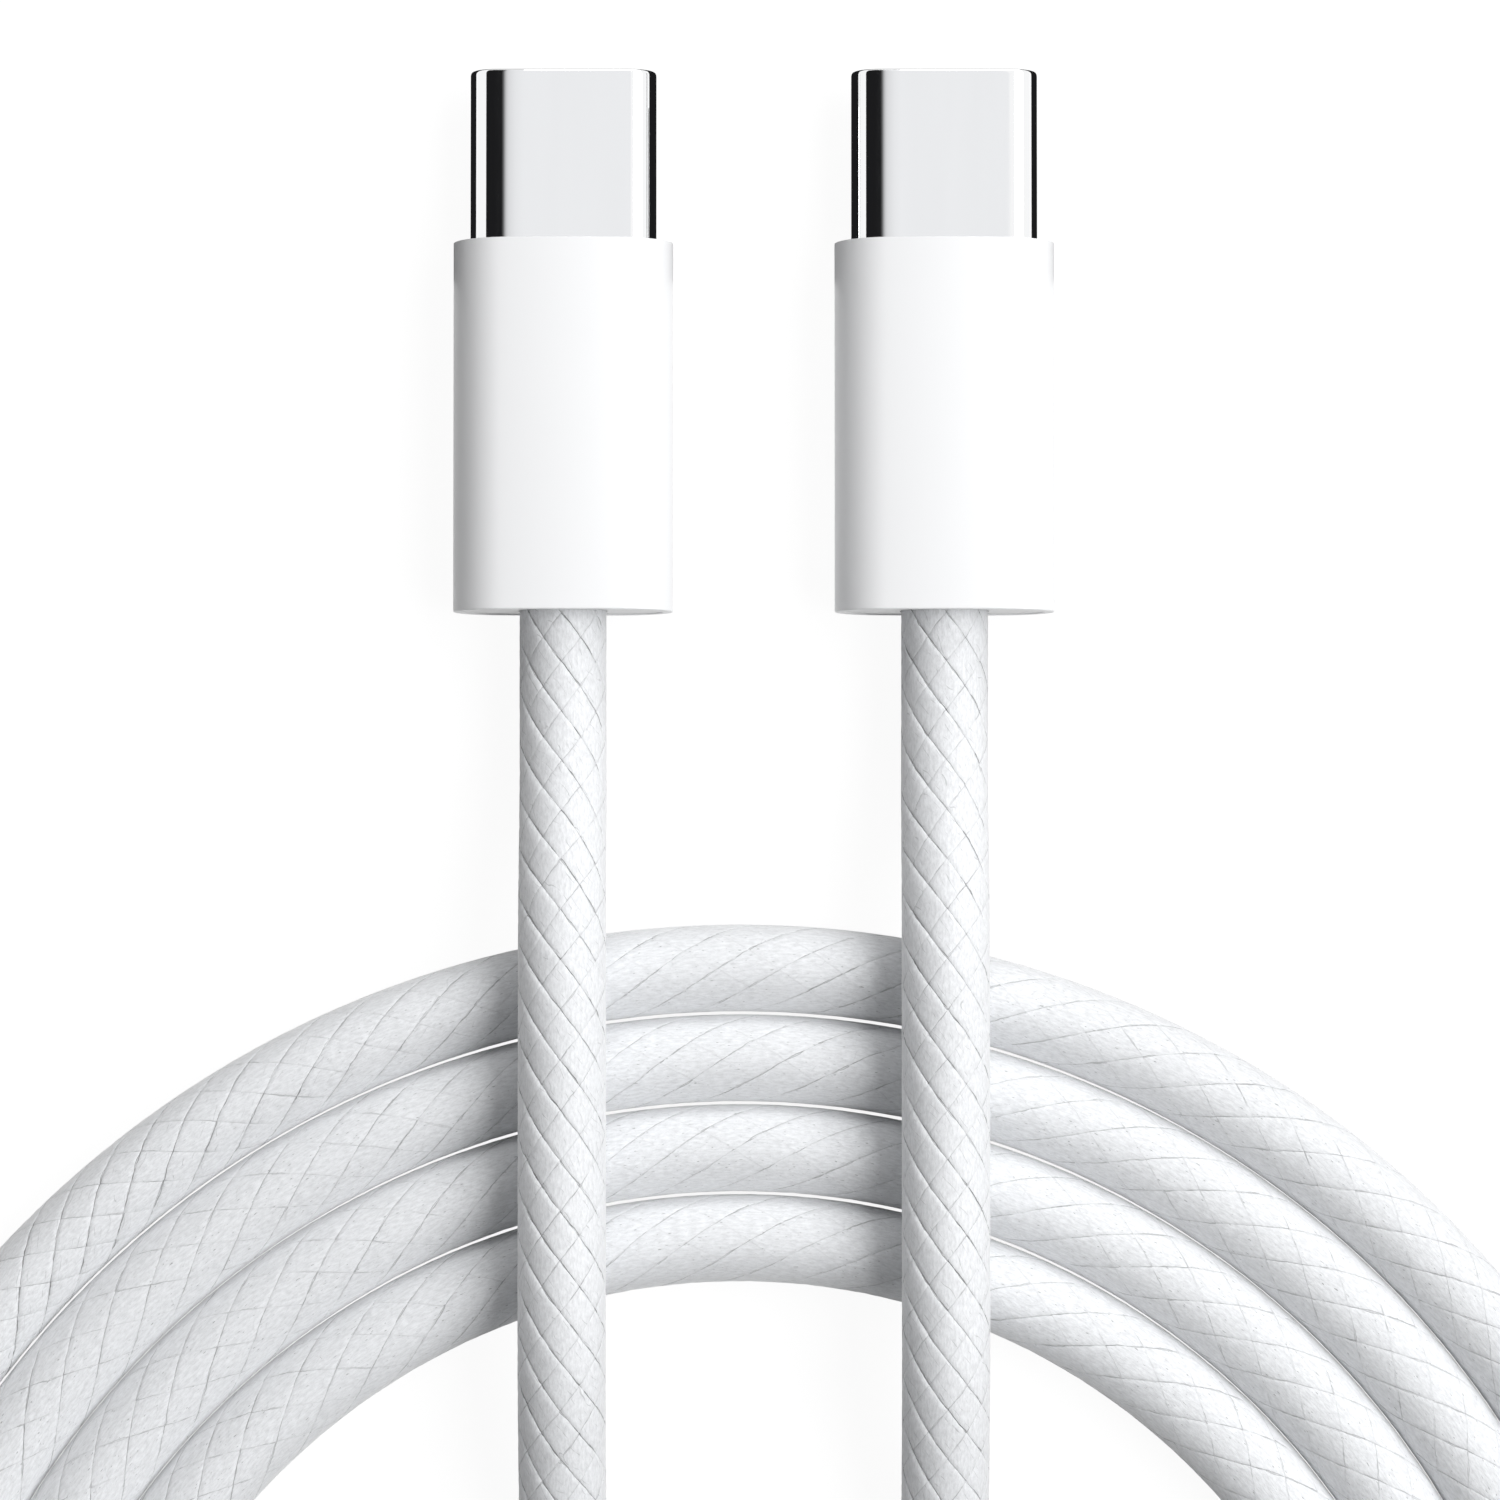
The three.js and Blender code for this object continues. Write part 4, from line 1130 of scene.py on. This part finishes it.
class CABLE_OT_boots(bpy.types.Operator):
    """Makes the glossy white sleeves"""

    bl_idname = "cable.boots"
    bl_label = "Sleeves"

    def execute(self, context):
        plug = context.scene.cable_plug
        gloss = grained(
            "glossy white",
            tuple(plug.boot_colour),
            (0.33, 0.37),
            grain=1800,
            contrast=0.006,
            bump=0.02,
            depth=0.004 * MM,
        )
        for prefix in PLUGS:
            low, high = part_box(prefix + "boot")
            centre = (low + high) / 2
            crown = plug.boot_crown
            straight, radius = crowned(high.x - low.x, high.z - low.z, crown)
            inner = radius - plug.boot_wall
            front, rear = high.y - centre.y, low.y - centre.y
            inner_front = front - plug.boot_front
            shell_low, shell_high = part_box(prefix + "shell")
            mouth = (shell_high.z - shell_low.z) / 2 + plug.shell_gap
            mouth_straight = (shell_high.x - shell_low.x) / 2 + plug.shell_gap - mouth
            corners = [
                (straight, radius, crown, front),
                (straight, radius, crown, rear),
                (straight, inner, crown, rear),
                (straight, inner, crown, inner_front),
                (mouth_straight, mouth, 0.0, inner_front),
                (mouth_straight, mouth, 0.0, front),
            ]
            edge = plug.boot_edge
            profile = eased(corners, [1.4 * edge, 1.4 * edge, edge, 0, 0, edge], 6)
            points = lofted(profile, centre)
            faces = ring_faces(len(profile), len(points) // len(profile))
            boot = new_piece(prefix + "sleeve", points, faces, gloss)
            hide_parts(prefix + "boot")
        return {"FINISHED"}


class CABLE_OT_mouth(bpy.types.Operator):
    """Finishes what is in the shell's mouth: the tongue housing, contacts, latches and springs"""

    bl_idname = "cable.mouth"
    bl_label = "Mouth parts"

    def execute(self, context):
        black = grained("black housing", (0.022, 0.022, 0.024), (0.32, 0.46), grain=6000, bump=0.1)
        gold = grained(
            "gold plating", (0.86, 0.62, 0.27), (0.16, 0.28), 1.0, 7000, (1, 0.15, 1), 0.06
        )
        spring = grained(
            "spring steel", (0.66, 0.655, 0.64), (0.2, 0.34), 1.0, 6000, (1, 0.1, 1), 0.1
        )
        for prefix in PLUGS:
            give(prefix + "tongue_housing", black)
            for side in ("upper", "lower"):
                give(f"{prefix}{side}_contacts", gold)
                give(f"{prefix}{side}_ground_spring", spring)
            for side in ("left", "right"):
                give(f"{prefix}{side}_latch", spring)
        return {"FINISHED"}


class CABLE_OT_inside(bpy.types.Operator):
    """Finishes what the sleeves hide: the board, the shields, the mould, the wires and the rest"""

    bl_idname = "cable.inside"
    bl_label = "Hidden parts"

    def execute(self, context):
        finishes = {
            "circuit_board": grained("solder mask", (0.02, 0.16, 0.07), (0.25, 0.4), grain=2500),
            "capacitor": grained("ceramic", (0.35, 0.22, 0.13), (0.4, 0.55), grain=8000),
            "shield": grained(
                "nickel plating", (0.7, 0.68, 0.63), (0.22, 0.36), 1.0, 4000, (1, 0.2, 1)
            ),
            "cable_jacket": grained("inner jacket", (0.75, 0.75, 0.74), (0.5, 0.65), grain=5000),
            "inner_mould": grained(
                "clear mould",
                (0.8, 0.82, 0.8),
                (0.35, 0.5),
                grain=2000,
                **{"Subsurface Weight": 0.3, "Subsurface Scale": 0.001},
            ),
            "rear_cap": grained("white cap", (0.86, 0.865, 0.87), (0.3, 0.42), grain=4000),
            "wire_vbus": grained("red wire", (0.5, 0.03, 0.02), (0.4, 0.55), grain=5000),
            "wire_ground": grained("black wire", (0.02, 0.02, 0.02), (0.4, 0.55), grain=5000),
            "wire_cc": grained("blue wire", (0.03, 0.12, 0.45), (0.4, 0.55), grain=5000),
            "wire_d_plus": grained("green wire", (0.03, 0.25, 0.08), (0.4, 0.55), grain=5000),
            "wire_d_minus": grained("white wire", (0.8, 0.8, 0.77), (0.4, 0.55), grain=5000),
        }
        for prefix in PLUGS:
            for name in ("shield_cover", "shield_base"):
                give(prefix + name, finishes["shield"])
            for name, finish in finishes.items():
                if name != "shield":
                    give(prefix + name, finish)
        return {"FINISHED"}


class CABLE_PT_panel(bpy.types.Panel):
    """Lists the cable's settings and the operators that build it"""

    bl_idname = "CABLE_PT_panel"
    bl_label = "Charging cable"
    bl_space_type = "VIEW_3D"
    bl_region_type = "UI"
    bl_category = "Cable"

    def draw(self, context):
        for title, group in GROUPS.items():
            box = self.layout.box()
            box.label(text=title)
            settings = getattr(context.scene, group[0])
            for name in group[1].__annotations__:
                box.prop(settings, name)
        for operator in OPERATORS:
            self.layout.operator(operator.bl_idname)


GROUPS = {
    "Cord": ("cable_cord", CordSettings),
    "Plugs": ("cable_plug", PlugSettings),
    "Stage": ("cable_stage", StageSettings),
}
OPERATORS = (
    CABLE_OT_stage,
    CABLE_OT_cord,
    CABLE_OT_shells,
    CABLE_OT_boots,
    CABLE_OT_mouth,
    CABLE_OT_inside,
)


def register():
    for name, group in GROUPS.values():
        bpy.utils.register_class(group)
        setattr(bpy.types.Scene, name, PointerProperty(type=group))
    for operator in OPERATORS:
        bpy.utils.register_class(operator)
    bpy.utils.register_class(CABLE_PT_panel)


def unregister():
    bpy.utils.unregister_class(CABLE_PT_panel)
    for operator in reversed(OPERATORS):
        bpy.utils.unregister_class(operator)
    for name, group in reversed(GROUPS.values()):
        delattr(bpy.types.Scene, name)
        bpy.utils.unregister_class(group)


def main():
    """Builds everything."""
    register()
    for operator in OPERATORS:
        family, name = operator.bl_idname.split(".")
        getattr(getattr(bpy.ops, family), name)()


if __name__ == "__main__":
    main()
